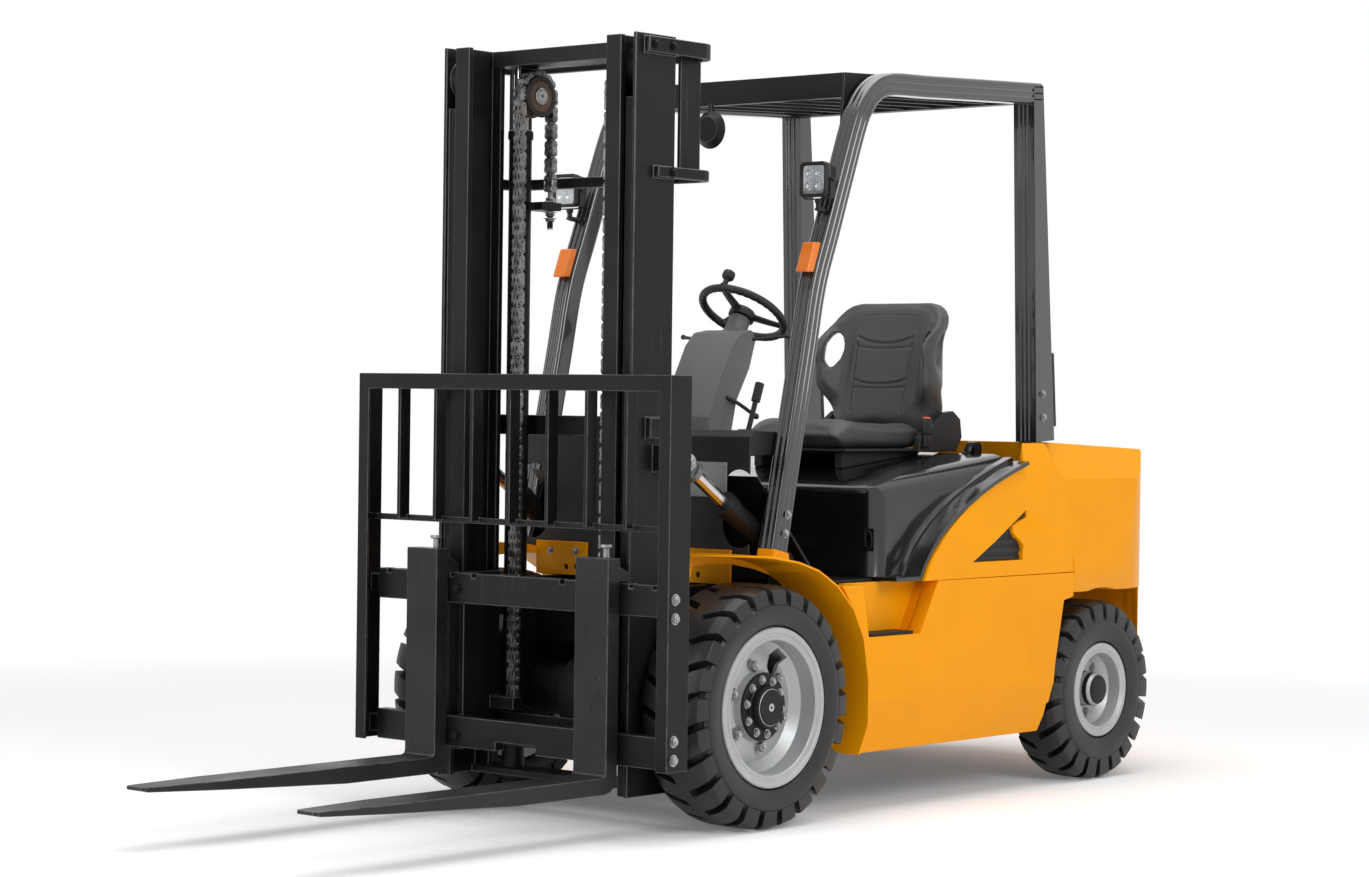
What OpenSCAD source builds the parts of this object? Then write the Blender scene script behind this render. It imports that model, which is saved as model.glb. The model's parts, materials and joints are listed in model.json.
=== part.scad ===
// Counterbalance forklift truck with a two-stage mast.
// Sizes in mm. Each module is drawn from the ground point below the front axle line:
// +X to the fork tips, +Y to the left, +Z up. at_origin() then centres the whole truck.

/* [Truck] */
// distance between the front and rear axle lines
wheelbase = 1740; // [1600:5:1900]
// half of the width over the side panels
body_half = 592; // [560:1:620]
// ground clearance under the side panels
body_bottom = 182; // [150:1:220]
// height of the seam between lower and upper side panels, and of the floor
seam_z = 690; // [660:1:720]
// from the front axle line to the rear end of the counterweight
rear_end = 2260; // [2200:5:2400]
// gap between neighbouring body panels
panel_gap = 6; // [3:1:10]

/* [Front wheels] */
// tyre outside diameter
front_od = 705; // [660:1:740]
// tyre width
front_w = 222; // [200:1:230]
// from the side panels' outer face in to the wheel centre plane
front_inset = 90; // [80:1:100]
// radius of the rim flange
front_rim_r = 230; // [215:1:240]
// radius of the tyre seat on the rim
front_seat_r = 205; // [195:1:210]

/* [Rear wheels] */
// tyre outside diameter
rear_od = 590; // [560:1:610]
// tyre width
rear_w = 175; // [160:1:185]
// from the side panels' outer face in to the wheel centre plane
rear_inset = 92; // [88:1:110]
// radius of the rim flange
rear_rim_r = 153; // [145:1:160]
// radius of the tyre seat on the rim
rear_seat_r = 127; // [120:1:135]
// from the wheel centre plane inward to the kingpin
kingpin_offset = 120; // [110:1:130]
// radius of the kingpin
kingpin_r = 20; // [16:1:24]

/* [Mast] */
// from the side panels' outer face in to the outer rails
mast_inset = 211; // [200:1:230]
// front face of the outer rails, ahead of the front axle line
mast_front = 380; // [360:1:400]
// depth of the outer rails, front to back
rail_depth = 172; // [160:1:180]
// height of the outer rails
mast_top = 2266; // [2200:2:2300]
// ground clearance under the mast
mast_bottom = 105; // [95:1:120]
// thickness of a rail web
web_t = 12; // [10:1:14]
// thickness of a rail flange
flange_t = 18; // [14:1:20]
// how far the inner mast stands above its lowest place
lift_rest = 59; // [40:1:70]
// radius of the lift barrels
barrel_r = 34; // [30:1:36]
// radius of the lift rods
rod_r = 22; // [18:1:24]

/* [Chain] */
// radius of the chain wheel to the middle of the chain
chain_wheel_r = 67; // [60:1:70]
// width of the chain
chain_w = 36; // [30:1:38]
// height of a chain plate
chain_t = 24; // [20:1:26]

/* [Carriage and forks] */
// height of a carriage bar
bar_h = 90; // [80:1:96]
// overall height over both carriage bars
carriage_h = 512; // [500:1:520]
// underside of the lower carriage bar above the ground
carriage_z = 204; // [196:1:210]
// half of the width of the load backrest
backrest_half = 619; // [600:1:621]
// top of the load backrest
backrest_top = 1299; // [1250:1:1350]
// length of the fork blades
fork_length = 1070; // [900:5:1250]
// width of a fork
fork_w = 125; // [100:1:135]
// thickness of a fork
fork_t = 48; // [40:1:52]
// from the middle of the truck to the middle of a fork
fork_y = 338; // [250:1:380]
// top face of the fork blades above the ground
fork_top = 174; // [170:1:180]

/* [Cab] */
// height of the overhead guard at its rear
guard_top = 2266; // [2200:2:2350]
// from the side panels' outer face in to the guard's outer face
guard_inset = 72; // [40:1:90]
// width of the seat
seat_w = 480; // [440:1:500]
// radius of the steering wheel
wheel_r = 148; // [140:1:160]

/* [Hidden] */
$fn = 64;

// running and seat clearances
pin_gap = 0.4;
seat_gap = 0.3;
slide_gap = 6;

// wheels and axles
front_r = front_od / 2;
rear_r = rear_od / 2;
rear_x = -wheelbase;
front_y = body_half - front_inset;
rear_y = body_half - rear_inset;
kingpin_y = rear_y - kingpin_offset;
front_bead = 94;
front_lip = 103;
rear_bead = 70;
rear_lip = 79;
spindle_front_r = 45;
spindle_rear_r = 28;
spindle_front_proud = 26;
spindle_rear_proud = 34;
spindle_front_end = front_y + spindle_front_proud;
spindle_rear_end = rear_y + spindle_rear_proud;
axle_z = front_r;
rear_z = rear_r;

// mast
rail_side_gap = 41;
inner_flange_w = 56;
inner_web_set = 12;
inner_web_t = 10;
inner_proud = 5;
inner_foot_gap = 26;
inner_top_gap = 4;
roller_gap = 1.5;
mast_half = body_half - mast_inset;
rail_back = mast_front - rail_depth;
inner_half = mast_half - web_t - rail_side_gap;
inner_in = inner_half - inner_flange_w;
inner_web_out = inner_half - inner_web_set;
inner_front = mast_front + inner_proud;
inner_back = rail_back + flange_t + slide_gap;
inner_bottom = mast_bottom + inner_foot_gap + lift_rest;
inner_top = mast_top - inner_top_gap;
channel_x = (inner_front + inner_back) / 2;
roller_r = (inner_front - inner_back) / 2 - flange_t - roller_gap;
barrel_room = 8;
barrel_side = 27;
barrel_drop = 239;
barrel_x = inner_back - barrel_r - barrel_room;
barrel_y = inner_in - barrel_side;
barrel_top = mast_top - barrel_drop;
foot_t = 20;
barrel_bottom = mast_bottom + foot_t;
barrel_floor = 40;
beam_h = 50;
beam_z = inner_top - beam_h;
strap_rear = 41;
strap_room = 30;
mid_strap_rear = barrel_x - barrel_r - strap_room;
strap_t = 20;
strap_bend_r = 60;
journal_r = 80;
tilt_side = 31;
tilt_y = mast_half + tilt_side;
tilt_eye = [192, 1053];
tilt_pivot = [-270, 756];
lug_half = 8;
cheek_t = 10;
eye_half = 18;
tilt_pin_r = 15;
tilt_len = norm(tilt_eye - tilt_pivot);
tilt_angle = atan2(tilt_eye[1] - tilt_pivot[1], tilt_eye[0] - tilt_pivot[0]);

// chain
chain_room = 17;
chain_side = 65;
wheel_drop = 140;
anchor_drop = 416;
chain_x = inner_back + chain_room + chain_t / 2;
chain_y = barrel_y - chain_side;
wheel_x = chain_x - chain_wheel_r;
wheel_z = mast_top - wheel_drop;
chain_back_x = wheel_x - chain_wheel_r;
anchor_low = 345;
anchor_high = mast_top - anchor_drop;

// carriage and forks
bar_t = 38;
backrest_end = 46;
bar_half = backrest_half - backrest_end;
bar_ahead = 58;
bar_front = mast_front + bar_ahead;
bar_back = bar_front - bar_t;
bar_low = carriage_z;
bar_high = carriage_z + carriage_h - bar_h;
fork_ahead = 52;
hook_rise = 70;
fork_face = bar_front + fork_ahead;
fork_back = fork_face - fork_t;
fork_tip = fork_face + fork_length;
fork_hook = bar_high + bar_h + hook_rise;

// body
side_depth = 50;
body_in = body_half - side_depth;
side_room = 92;
frame_half = body_half - side_room;
fender_side = 7;
fender_in = mast_half + fender_side;
fender_cover = 7;
fender_out = front_y + front_w / 2 - fender_cover;
frame_front = -449 - seat_gap;
frame_back = -1345;
frame_low = 200;
cw_front = -1560;
wheel_room = 32;
sweep_room = 10;
wheel_top = rear_od + wheel_room;
sweep_r = sqrt(pow(kingpin_offset + rear_w / 2, 2) + pow(rear_r, 2)) + sweep_room;
cowl_front = -60;
cowl_plate_t = 6;
hood_front = -604;
guard_tube = 62;
guard_half = body_half - guard_inset;
guard_in = guard_half - guard_tube;
guard_mid = (guard_in + guard_half) / 2;
origin_x = -(fork_tip - rear_end) / 2;

function arc(cx, cy, r, a0, a1, n) =
  [for (i = [0 : n]) let (a = a0 + (a1 - a0) * i / n) [cx + r * cos(a), cy + r * sin(a)]];
// cubic curve through four control points, in n steps
function curve(p, n) = [for (i = [0 : n]) let (t = i / n, u = 1 - t)
  p[0] * pow(u, 3) + p[1] * 3 * t * u * u + p[2] * 3 * t * t * u + p[3] * pow(t, 3)];
function unit(v) = v / norm(v);
function side(v) = [-v[1], v[0]];
// miter offset of a polyline's point i by d to its left
function off(p, i, d) =
  let (a = i > 0 ? unit(p[i] - p[i - 1]) : unit(p[1] - p[0]))
  let (b = i < len(p) - 1 ? unit(p[i + 1] - p[i]) : a)
  let (n = unit(side(a) + side(b)))
  p[i] + n * d / (n * side(a));
// polyline moved by d to its left
function beside(p, d) = [for (i = [0 : len(p) - 1]) off(p, i, d)];
// closed outline moved by d to its left
function shifted(p, d) = [for (i = [0 : len(p) - 1])
  off([p[(i + len(p) - 1) % len(p)], p[i], p[(i + 1) % len(p)]], 1, d)];
// closed outline of a band of half width w along a polyline
function band(p, w) = concat(
  beside(p, w),
  [for (i = [len(p) - 1 : -1 : 0]) off(p, i, -w)]);

module at_origin() {
  translate([origin_x, 0, 0]) children();
}

// draws the child and its mirror image across the middle of the truck
module both() {
  children();
  mirror([0, 1, 0]) children();
}

// stands an XZ outline up and stretches it from y0 to y1
module along_y(y0, y1) {
  translate([0, y1, 0]) rotate([90, 0, 0]) linear_extrude(y1 - y0) children();
}

// stands a YZ outline up and stretches it from x0 to x1
module along_x(x0, x1) {
  translate([x0, 0, 0]) rotate([90, 0, 90]) linear_extrude(x1 - x0) children();
}

// box between two corners
module box(a, b) {
  translate(a) cube(b - a);
}

// cylinder along Y from y0 to y1
module rod_y(x, z, y0, y1, r) {
  translate([x, y0, z]) rotate([-90, 0, 0]) cylinder(h = y1 - y0, r = r);
}

// cylinder along X from x0 to x1
module rod_x(y, z, x0, x1, r) {
  translate([x0, y, z]) rotate([0, 90, 0]) cylinder(h = x1 - x0, r = r);
}

// revolves a profile of [radius, outward] points about a wheel axis
module wheel_turn(x, y, z) {
  translate([x, y, z]) rotate([-90, 0, 0]) rotate_extrude($fn = 96) children();
}

// tyre outline: outer radius, half width, seat radius, flange radius, half width between the flanges
module tyre_outline(r, hw, seat, flange, bead) {
  half = [
    [seat + seat_gap, bead], [flange + 2, bead], [flange + 6, bead + (hw - bead) * 0.4],
    [flange + (r - flange) * 0.3, hw - 2], [flange + (r - flange) * 0.5, hw],
    [flange + (r - flange) * 0.74, hw - 2], [r - 20, hw - 7], [r - 6, hw - 15], [r, hw - 26]];
  back = [for (i = [len(half) - 1 : -1 : 0]) [half[i][0], -half[i][1]]];
  polygon(concat(half, back));
}

module front_tyre() {
  wheel_turn(0, front_y, front_r)
    tyre_outline(front_r, front_w / 2, front_seat_r, front_rim_r, front_bead);
}

module front_rim() {
  bore = spindle_front_r + pin_gap;
  wheel_turn(0, front_y, front_r) polygon([
    [front_seat_r - 15, -100], [front_rim_r, -front_lip], [front_rim_r, -front_bead - 1],
    [front_seat_r, -front_bead - 1], [front_seat_r, front_bead + 1], [front_rim_r, front_bead + 1],
    [front_rim_r, front_lip], [front_seat_r - 10, front_lip - 3],
    [front_seat_r - 16, 50], [160, 26], [104, 38], [98, 62], [92, 66], [62, 66], [58, 88],
    [50, 94], [0, 94], [0, 32], [bore, 32], [bore, -60], [92, -60], [92, 22], [102, 24],
    [158, 12], [front_seat_r - 26, 30], [front_seat_r - 15, 20]]);
}

module rear_tyre() {
  wheel_turn(rear_x, rear_y, rear_z)
    tyre_outline(rear_r, rear_w / 2, rear_seat_r, rear_rim_r, rear_bead);
}

module rear_rim() {
  bore = spindle_rear_r + pin_gap;
  wheel_turn(rear_x, rear_y, rear_z) polygon([
    [rear_seat_r - 10, -76], [rear_rim_r, -rear_lip], [rear_rim_r, -rear_bead - 1],
    [rear_seat_r, -rear_bead - 1], [rear_seat_r, rear_bead + 1], [rear_rim_r, rear_bead + 1],
    [rear_rim_r, rear_lip], [rear_seat_r - 6, rear_lip - 3],
    [rear_seat_r - 10, 36], [96, 14], [56, 14], [54, 60], [46, 72], [0, 72], [0, 40],
    [bore, 40], [bore, -30], [52, -30], [52, 2], [96, 2], [rear_seat_r - 20, 12],
    [rear_seat_r - 10, 10]]);
}

module front_tyre_left() {
  color("#242424") front_tyre();
}

module front_tyre_right() {
  color("#242424") mirror([0, 1, 0]) front_tyre();
}

hand_slot_at = 132;
hand_slot_r = 26;
hand_slot_turn = 125;
hand_slot_from = -20;
hand_slot_to = 60;
slot_wall = 22;

// slot in the front disc, towards the rim
module hand_slot() {
  translate([0, front_y, front_r]) rotate([0, -hand_slot_turn, 0]) {
    rod_y(hand_slot_at, 0, hand_slot_from, hand_slot_to, hand_slot_r);
    box([hand_slot_at, hand_slot_from, -hand_slot_r], [front_seat_r - slot_wall, hand_slot_to, hand_slot_r]);
  }
}

module front_rim_left() {
  color("#b9bcc0") difference() {
    front_rim();
    hand_slot();
  }
}

module front_rim_right() {
  color("#b9bcc0") mirror([0, 1, 0]) difference() {
    front_rim();
    hand_slot();
  }
}

module rear_tyre_left() {
  color("#242424") rear_tyre();
}

module rear_tyre_right() {
  color("#242424") mirror([0, 1, 0]) rear_tyre();
}

module rear_rim_left() {
  color("#b9bcc0") rear_rim();
}

module rear_rim_right() {
  color("#b9bcc0") mirror([0, 1, 0]) rear_rim();
}

// steer axle plates: their height above and below the wheel centre
yoke_in = 58;
yoke_out = 78;
arm_x = -50;
arm_y = -30;
arm_low = rear_z - 50;
arm_t = 14;
arm_eye_r = 16;
kingpin_proud = 4;
knuckle_gap = 6;
knuckle_r = 30;
rear_hub_r = 44;
rear_hub_gap = 36;

module knuckle() {
  translate([rear_x, kingpin_y, rear_z]) {
    translate([0, 0, -yoke_out - kingpin_proud]) cylinder(h = 2 * (yoke_out + kingpin_proud), r = kingpin_r);
    translate([0, 0, knuckle_gap - yoke_in]) cylinder(h = 2 * (yoke_in - knuckle_gap), r = knuckle_r);
    rod_y(0, 0, 0, spindle_rear_end - kingpin_y, spindle_rear_r);
    rod_y(0, 0, knuckle_r, rear_y - rear_hub_gap - kingpin_y, rear_hub_r);
  }
  translate([rear_x, kingpin_y, arm_low]) linear_extrude(arm_t) {
    polygon([[0, -29], [-8, 28], [arm_x - 6, arm_y + 15], [arm_x, arm_y - arm_eye_r]]);
    translate([arm_x, arm_y]) circle(r = arm_eye_r);
  }
}

module knuckle_left() {
  color("#3a3b3d") knuckle();
}

module knuckle_right() {
  color("#3a3b3d") mirror([0, 1, 0]) knuckle();
}

trunnion_rise = 60;
trunnion_z = rear_z + yoke_out + trunnion_rise;
trunnion_r = 36;
trunnion_half = 142;
trunnion_block = 90;
trunnion_block_w = 50;
steer_x = rear_x + arm_x;
steer_barrel_r = 40;
steer_rod_r = 18;
steer_barrel_in = 215;
steer_barrel_half = kingpin_y - steer_barrel_in;
steer_clamp_y = steer_barrel_half * 6 / 11;
steer_clamp_t = 30;
axle_core_half = 110;
axle_core = [-4, 70];
yoke_end_r = 45;

// plan outline of one yoke plate
module yoke_plan() {
  polygon([
    [-yoke_end_r, kingpin_y], [-75, kingpin_y - 130], [-108, kingpin_y - 200], [-108, 200 - kingpin_y],
    [-75, 130 - kingpin_y], [-yoke_end_r, -kingpin_y], [yoke_end_r, -kingpin_y], [75, 130 - kingpin_y],
    [75, kingpin_y - 130], [yoke_end_r, kingpin_y]]);
  for (s = [-1, 1]) translate([0, s * kingpin_y]) circle(r = yoke_end_r);
}

module steer_axle() {
  color("#3a3b3d") {
    difference() {
      union() {
        for (z = [-yoke_out, yoke_in])
          translate([rear_x, 0, rear_z + z]) linear_extrude(yoke_out - yoke_in) yoke_plan();
        box([rear_x + axle_core[0], -axle_core_half, rear_z - yoke_in - 1],
          [rear_x + axle_core[1], axle_core_half, rear_z + yoke_in + 1]);
        box([rear_x - trunnion_block, -trunnion_block_w, rear_z + yoke_in],
          [rear_x + trunnion_block, trunnion_block_w, trunnion_z]);
        rod_x(0, trunnion_z, rear_x - trunnion_half, rear_x + trunnion_half, trunnion_r);
      }
      for (s = [-1, 1])
        translate([rear_x, s * kingpin_y, 0]) cylinder(h = 2 * rear_z, r = kingpin_r + pin_gap);
    }
    difference() {
      union() {
        rod_y(steer_x, rear_z, -steer_barrel_half, steer_barrel_half, steer_barrel_r);
        for (s = [-1, 1])
          box([steer_x - steer_clamp_t, s * steer_clamp_y - steer_clamp_t / 2, rear_z - yoke_in],
            [steer_x + steer_clamp_t, s * steer_clamp_y + steer_clamp_t / 2, rear_z + yoke_in]);
      }
      rod_y(steer_x, rear_z, -2 * steer_barrel_half, 2 * steer_barrel_half, steer_rod_r + pin_gap);
    }
  }
}

steer_rod_in = 95;
steer_rod_half = kingpin_y - steer_rod_in;
link_gap = 5;
link_z = arm_low + arm_t + link_gap;
link_t = 10;
link_w = 28;
link_root = 30;
rod_head = [-34, 4];
rod_head_r = 26;

module steer_rod() {
  color("#c9ccd0") {
    rod_y(steer_x, rear_z, -steer_rod_half, steer_rod_half, steer_rod_r);
    both() {
      rod_y(steer_x, rear_z, steer_rod_half + rod_head[0], steer_rod_half + rod_head[1], rod_head_r);
      translate([steer_x, 0, link_z]) linear_extrude(link_t) {
        translate([-link_w / 2, steer_rod_half - link_root])
          square([link_w, kingpin_y + arm_y - steer_rod_half + link_root]);
        translate([0, kingpin_y + arm_y]) circle(r = arm_eye_r);
      }
      box([steer_x - link_w / 2, steer_rod_half - link_root, link_z],
        [steer_x + link_w / 2, steer_rod_half - 6, rear_z]);
    }
  }
}

// drive axle: brake drums outside the mast, and a motor behind its gear case
drum_gap = 3;
drum_t = 31;
drum_r = 165;
hub_r = 100;
hub_gap = 66;
case_x = -40;
case_drop = 20;
case_half = 150;
case_r = 140;
motor_drop = 30;
motor_end = -360;
motor_r = 125;

module drive_axle() {
  drum_in = mast_half + drum_gap;
  color("#3a3b3d") {
    both() {
      rod_y(0, axle_z, 0, drum_in, journal_r);
      rod_y(0, axle_z, drum_in, drum_in + drum_t, drum_r);
      rod_y(0, axle_z, drum_in + drum_t, front_y - hub_gap, hub_r);
      rod_y(0, axle_z, front_y - hub_gap - 4, spindle_front_end, spindle_front_r);
    }
    rod_y(case_x, axle_z - case_drop, -case_half, case_half, case_r);
    rod_x(0, axle_z - motor_drop, motor_end, case_x, motor_r);
  }
}

// frame plates
frame_t = 20;
frame_top = seam_z - seat_gap;
beam_side = 56;
beam_w = 40;
beam_out = mast_half - beam_side;
beam_in = beam_out - beam_w;
ear_gap = 2;
ear_t = 16;
ear_r = 28;
ear_foot = 40;
ear_drop = 116;
ear_out = fender_in - ear_gap;
ear_boss_r = 22;
tail_w = 60;
deck_top = 742;
deck_t = 12;

battery_gap = 8;
battery_front = -680;
battery_top = 880;
hinge = [-1330, 1090];
hinge_side = 160;
hinge_y = frame_half - hinge_side;
hinge_half = 14;
hinge_plate = 12;
hinge_pin_in = 6;
hinge_r = 10;
hinge_eye_r = 18;
hinge_foot = [-1352, -1324];
cross_beam = [-20, 60];
cross_beam_z = [500, 640];

module frame() {
  color("#2c2d2f") {
    difference() {
      box([frame_back, -frame_half, frame_low], [frame_front, frame_half, frame_top]);
      box([frame_back + frame_t, -frame_half + frame_t, frame_low + frame_t],
        [frame_front - frame_t, frame_half - frame_t, seam_z + 10]);
    }
    both() {
      along_y(beam_in, beam_out) difference() {
        polygon([
          [frame_front - 2, 230], [-180, 230], [-120, 250], [110, 300], [110, 420], [60, frame_top],
          [frame_front - 2, frame_top]]);
        translate([0, axle_z]) circle(r = journal_r + seat_gap);
      }
      along_y(ear_out - ear_t, ear_out) {
        translate(tilt_pivot) circle(r = ear_r);
        polygon([
          tilt_pivot + [-ear_r, 0], tilt_pivot + [ear_r, 0], tilt_pivot + [ear_foot, -ear_drop],
          tilt_pivot + [-ear_foot, -ear_drop]]);
      }
      box([tilt_pivot[0] - ear_foot, beam_out - 1, tilt_pivot[1] - ear_drop],
        [tilt_pivot[0] + ear_foot, ear_out, frame_top]);
      rod_y(tilt_pivot[0], tilt_pivot[1], ear_out - 1, tilt_y - eye_half - seat_gap, ear_boss_r);
      rod_y(tilt_pivot[0], tilt_pivot[1], ear_out - 1, tilt_y + eye_half + 4, tilt_pin_r);
      box([cw_front + seat_gap, frame_half - tail_w, wheel_top], [frame_back + 1, frame_half, frame_top]);
      along_y(hinge_y + hinge_half + seat_gap, hinge_y + hinge_half + hinge_plate) {
        polygon([
          [hinge_foot[0], deck_top - 1], [hinge_foot[1], deck_top - 1], hinge + [hinge_eye_r, 0],
          hinge - [hinge_eye_r, 0]]);
        translate(hinge) circle(r = hinge_eye_r);
      }
      rod_y(hinge[0], hinge[1], hinge_y - hinge_half - hinge_pin_in, hinge_y + hinge_half + hinge_plate,
        hinge_r);
    }
    box([cw_front + panel_gap, -frame_half, wheel_top],
      [cw_front + panel_gap + frame_t, frame_half, deck_top]);
    box([cw_front + panel_gap, -frame_half, deck_top - deck_t], [frame_back + 1, frame_half, deck_top]);
    box([frame_back, -frame_half, frame_top - 10], [frame_back + frame_t, frame_half, deck_top]);
    box([cross_beam[0], -beam_out, cross_beam_z[0]], [cross_beam[1], beam_out, cross_beam_z[1]]);
  }
}

module battery_pack() {
  color("#46484b")
    box([frame_back + frame_t + battery_gap, -frame_half + frame_t + battery_gap, frame_low + frame_t],
      [battery_front, frame_half - frame_t - battery_gap, battery_top]);
}

// boundary between the black hood and the yellow side panel, front to back
swoosh = curve([[-735, seam_z], [-800, 830], [-1000, 950], [-1304, 1036]], 10);
cw_seam = [[-1560, seam_z], [-1537, 988], [-1446, 1107]];
skirt_back = [[-1440, seam_z], [-1500, 600], [-1455, 399], [-1436, 262], [-1401, body_bottom]];
step_top = [-430, -811];
step_low = [-462, -718];
step_z = 530;
step_wall = 6;
panel_skin = 14;
step_in = frame_half + seat_gap;

module lower_side_outline() {
  polygon(concat(
    [[-330, seam_z - 2]],
    [[-400, 600], [-436, 500], [-452, 409], [-455, 269], [-410, body_bottom]],
    [for (i = [len(skirt_back) - 1 : -1 : 1]) skirt_back[i]],
    [[cw_front + panel_gap, 610], [cw_front + panel_gap, seam_z - 2]]));
}

module step_outline(grow, top) {
  polygon([
    [step_top[0] + grow, top], [step_low[0] + grow, step_z - grow],
    [step_low[1] - grow, step_z - grow], [step_top[1] - grow, top]]);
}

// half section of the side panels: they lean in above the crease and below the skirt bend
module side_section() {
  polygon([
    [body_in, body_bottom - 10], [body_half - 34, body_bottom - 10], [body_half, 340], [body_half, 800],
    [body_half - 22, 990], [body_half - 50, 1120], [body_in - 40, 1120]]);
}

vent_gap = 2;
vent_depth = 26;
vent_set = 13;
slat_depth = 5;
slat_h = 12;
slat_step = 26;
slat_low = 752;
slats = 6;
vent_outline = [
  [-990, 738], [-1260, 738], [-1264, 785], [-1212, 822], [-1212, 846], [-1290, 872], [-1296, 896]];

module body_panels() {
  intersection() {
    union() {
      difference() {
        along_y(body_in, body_half) lower_side_outline();
        along_y(body_in - 1, body_half + 1) step_outline(0, seam_z + 1);
      }
      difference() {
        along_y(body_in, body_half) polygon(concat(
          beside(swoosh, panel_gap / 2), [[-1316, 1107]],
          [for (i = [2 : -1 : 0]) cw_seam[i] + [panel_gap, 0]]));
        along_y(body_half - vent_depth, body_half + 1) polygon(vent_outline);
      }
    }
    along_x(-1700, 0) side_section();
  }
}

module body_side() {
  difference() {
    body_panels();
    intersection() {
      translate([rear_x, kingpin_y, rear_z - rear_r]) cylinder(h = rear_od, r = sweep_r);
      box([rear_x, 0, 0], [rear_x + sweep_r, body_half - panel_skin, rear_z + sweep_r]);
    }
  }
  along_y(step_in, step_in + step_wall) step_outline(step_wall, seam_z - 2);
  along_y(step_in, body_in + 1) difference() {
    step_outline(step_wall, seam_z - 2);
    step_outline(0, seam_z);
  }
}

module body_sides() {
  color("#f2a900") both() body_side();
}

module vent_grilles() {
  color("#1b1c1d") both() difference() {
    along_y(body_half - vent_depth + seat_gap, body_half - vent_set)
      polygon(shifted(vent_outline, -vent_gap));
    for (i = [0 : slats - 1])
      box([vent_outline[6][0] - slat_step, body_half - vent_set - slat_depth, slat_low + i * slat_step],
        [vent_outline[0][0] + slat_step, body_half, slat_low + slat_h + i * slat_step]);
  }
}

fender_t = 6;
fender_cut = [30, 196, 300];
tie_in = 178;
tie_top = 794;
tie_hole_r = 9;
tie_hole_z = 716;
tie_holes = [225, 265];
fender_path = [
  [205, 790], [20, 784], [-110, 764], [-200, 738], [-290, 690], [-368, 620], [-420, 530], [-446, 400],
  [-446, 270], [-402, 186]];

module fenders() {
  color("#f2a900") both() {
    difference() {
      along_y(fender_in, fender_out) polygon(band(fender_path, fender_t / 2));
      translate([0, 0, frame_top]) linear_extrude(frame_top) polygon([
        [fender_cut[0], fender_out + 1], [fender_cut[2], fender_out + 1], [fender_cut[2], fender_in + 1],
        [fender_cut[1], fender_in + 1]]);
    }
    along_y(fender_in, fender_in + fender_t) polygon([
      [205, 787], [20, 781], [-110, 761], [-200, 735], [-240, 714], [-160, 735], [-60, 752], [20, 757],
      [120, 752], [150, 660], [205, 640]]);
    difference() {
      box([cowl_front + seat_gap, tie_in, seam_z + 2],
        [cowl_front + seat_gap + fender_t, fender_in + 2, tie_top]);
      for (y = tie_holes) rod_x(y, tie_hole_z, cowl_front - 10, cowl_front + 20, tie_hole_r);
    }
    along_y(guard_in, guard_half)
      polygon([pillar_foot[0] - [0, seat_gap], pillar_foot[1] - [0, seat_gap], [-172, 747], [-86, 765]]);
  }
}

toe_top = [-92, 1010];
toe_low = [-400, seam_z];
floor_t = 8;
floor_gap = 12;
toe_t = [6, 10];
tread_in = 8;
tread_w = 12;
tread_step = 20;
treads = 4;

module floor_plates() {
  color("#202122") {
    box([hood_front + floor_gap, -frame_half, seam_z], [toe_low[0], frame_half, seam_z + floor_t]);
    along_y(-cowl_half, cowl_half) polygon([
      toe_low, toe_low + [0, floor_t], toe_top - [toe_t[0], 0], toe_top, toe_low + [toe_t[1], 0]]);
    both() for (i = [0 : treads - 1])
      box([step_low[1] + tread_step, step_in + tread_in + i * tread_step, step_z + seat_gap],
        [step_low[0] - tread_step, step_in + tread_in + tread_w + i * tread_step, step_z + 10]);
  }
}

cowl_half = guard_in - cowl_plate_t - 2 * seat_gap;
cowl_top = 1145;
cowl_t = 8;
cowl_low = 775;
skirt_gap = 4;
dash_back = -300;
tilt_hole_r = 60;
tilt_hole_z = 860;
tilt_hole_rise = 110;
lock_hole_r = 12;

module cowl() {
  color("#202122") {
    difference() {
      union() {
        box([cowl_front - cowl_t, -cowl_half, cowl_low + seat_gap], [cowl_front, cowl_half, cowl_top - 40]);
        box([cowl_front - cowl_t, skirt_gap - fender_in, seam_z],
          [cowl_front, fender_in - skirt_gap, cowl_low + 2]);
        along_y(-cowl_half, cowl_half) polygon([
          [cowl_front, 1070], [cowl_front, 1125], [cowl_front - 20, cowl_top], [-270, cowl_top - 6],
          [dash_back, cowl_top - 30], [dash_back, 1100], [-270, 1080], [-110, 1070]]);
      }
      for (s = [-1, 1]) along_x(cowl_front - 200, cowl_front + 1) translate([s * tilt_y, tilt_hole_z]) {
        circle(r = tilt_hole_r);
        translate([0, tilt_hole_rise]) circle(r = tilt_hole_r);
        translate([-tilt_hole_r, 0]) square([2 * tilt_hole_r, tilt_hole_rise]);
      }
    }
  }
  color("#55585a") both() along_y(cowl_half + seat_gap, guard_in - seat_gap) difference() {
    polygon([
      [-100, 800], [-196, 1147], [-255, 1145], [-270, 1118], [-255, 1060], [-212, 960], [-190, 860],
      [-180, 800]]);
    for (p = [[-196, 1085], [-178, 985]]) translate(p) circle(r = lock_hole_r);
  }
}

wheel_c = [-567, 1505];
wheel_tilt = 33;
column_half = 95;
column_r = 34;
column_len = 100;
wheel_rim_r = 13;
wheel_hub_r = 42;
wheel_hub_low = -20;
wheel_hub_h = 30;
spoke_half = 14;
spoke_low = -10;
spoke_t = 12;
knob_rise = 44;
knob_r = 20;
knob_stem_r = 9;

// the steering wheel's own frame: z along its shaft
module wheel_frame() {
  translate([wheel_c[0], 0, wheel_c[1]]) rotate([0, -wheel_tilt, 0]) children();
}

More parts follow.
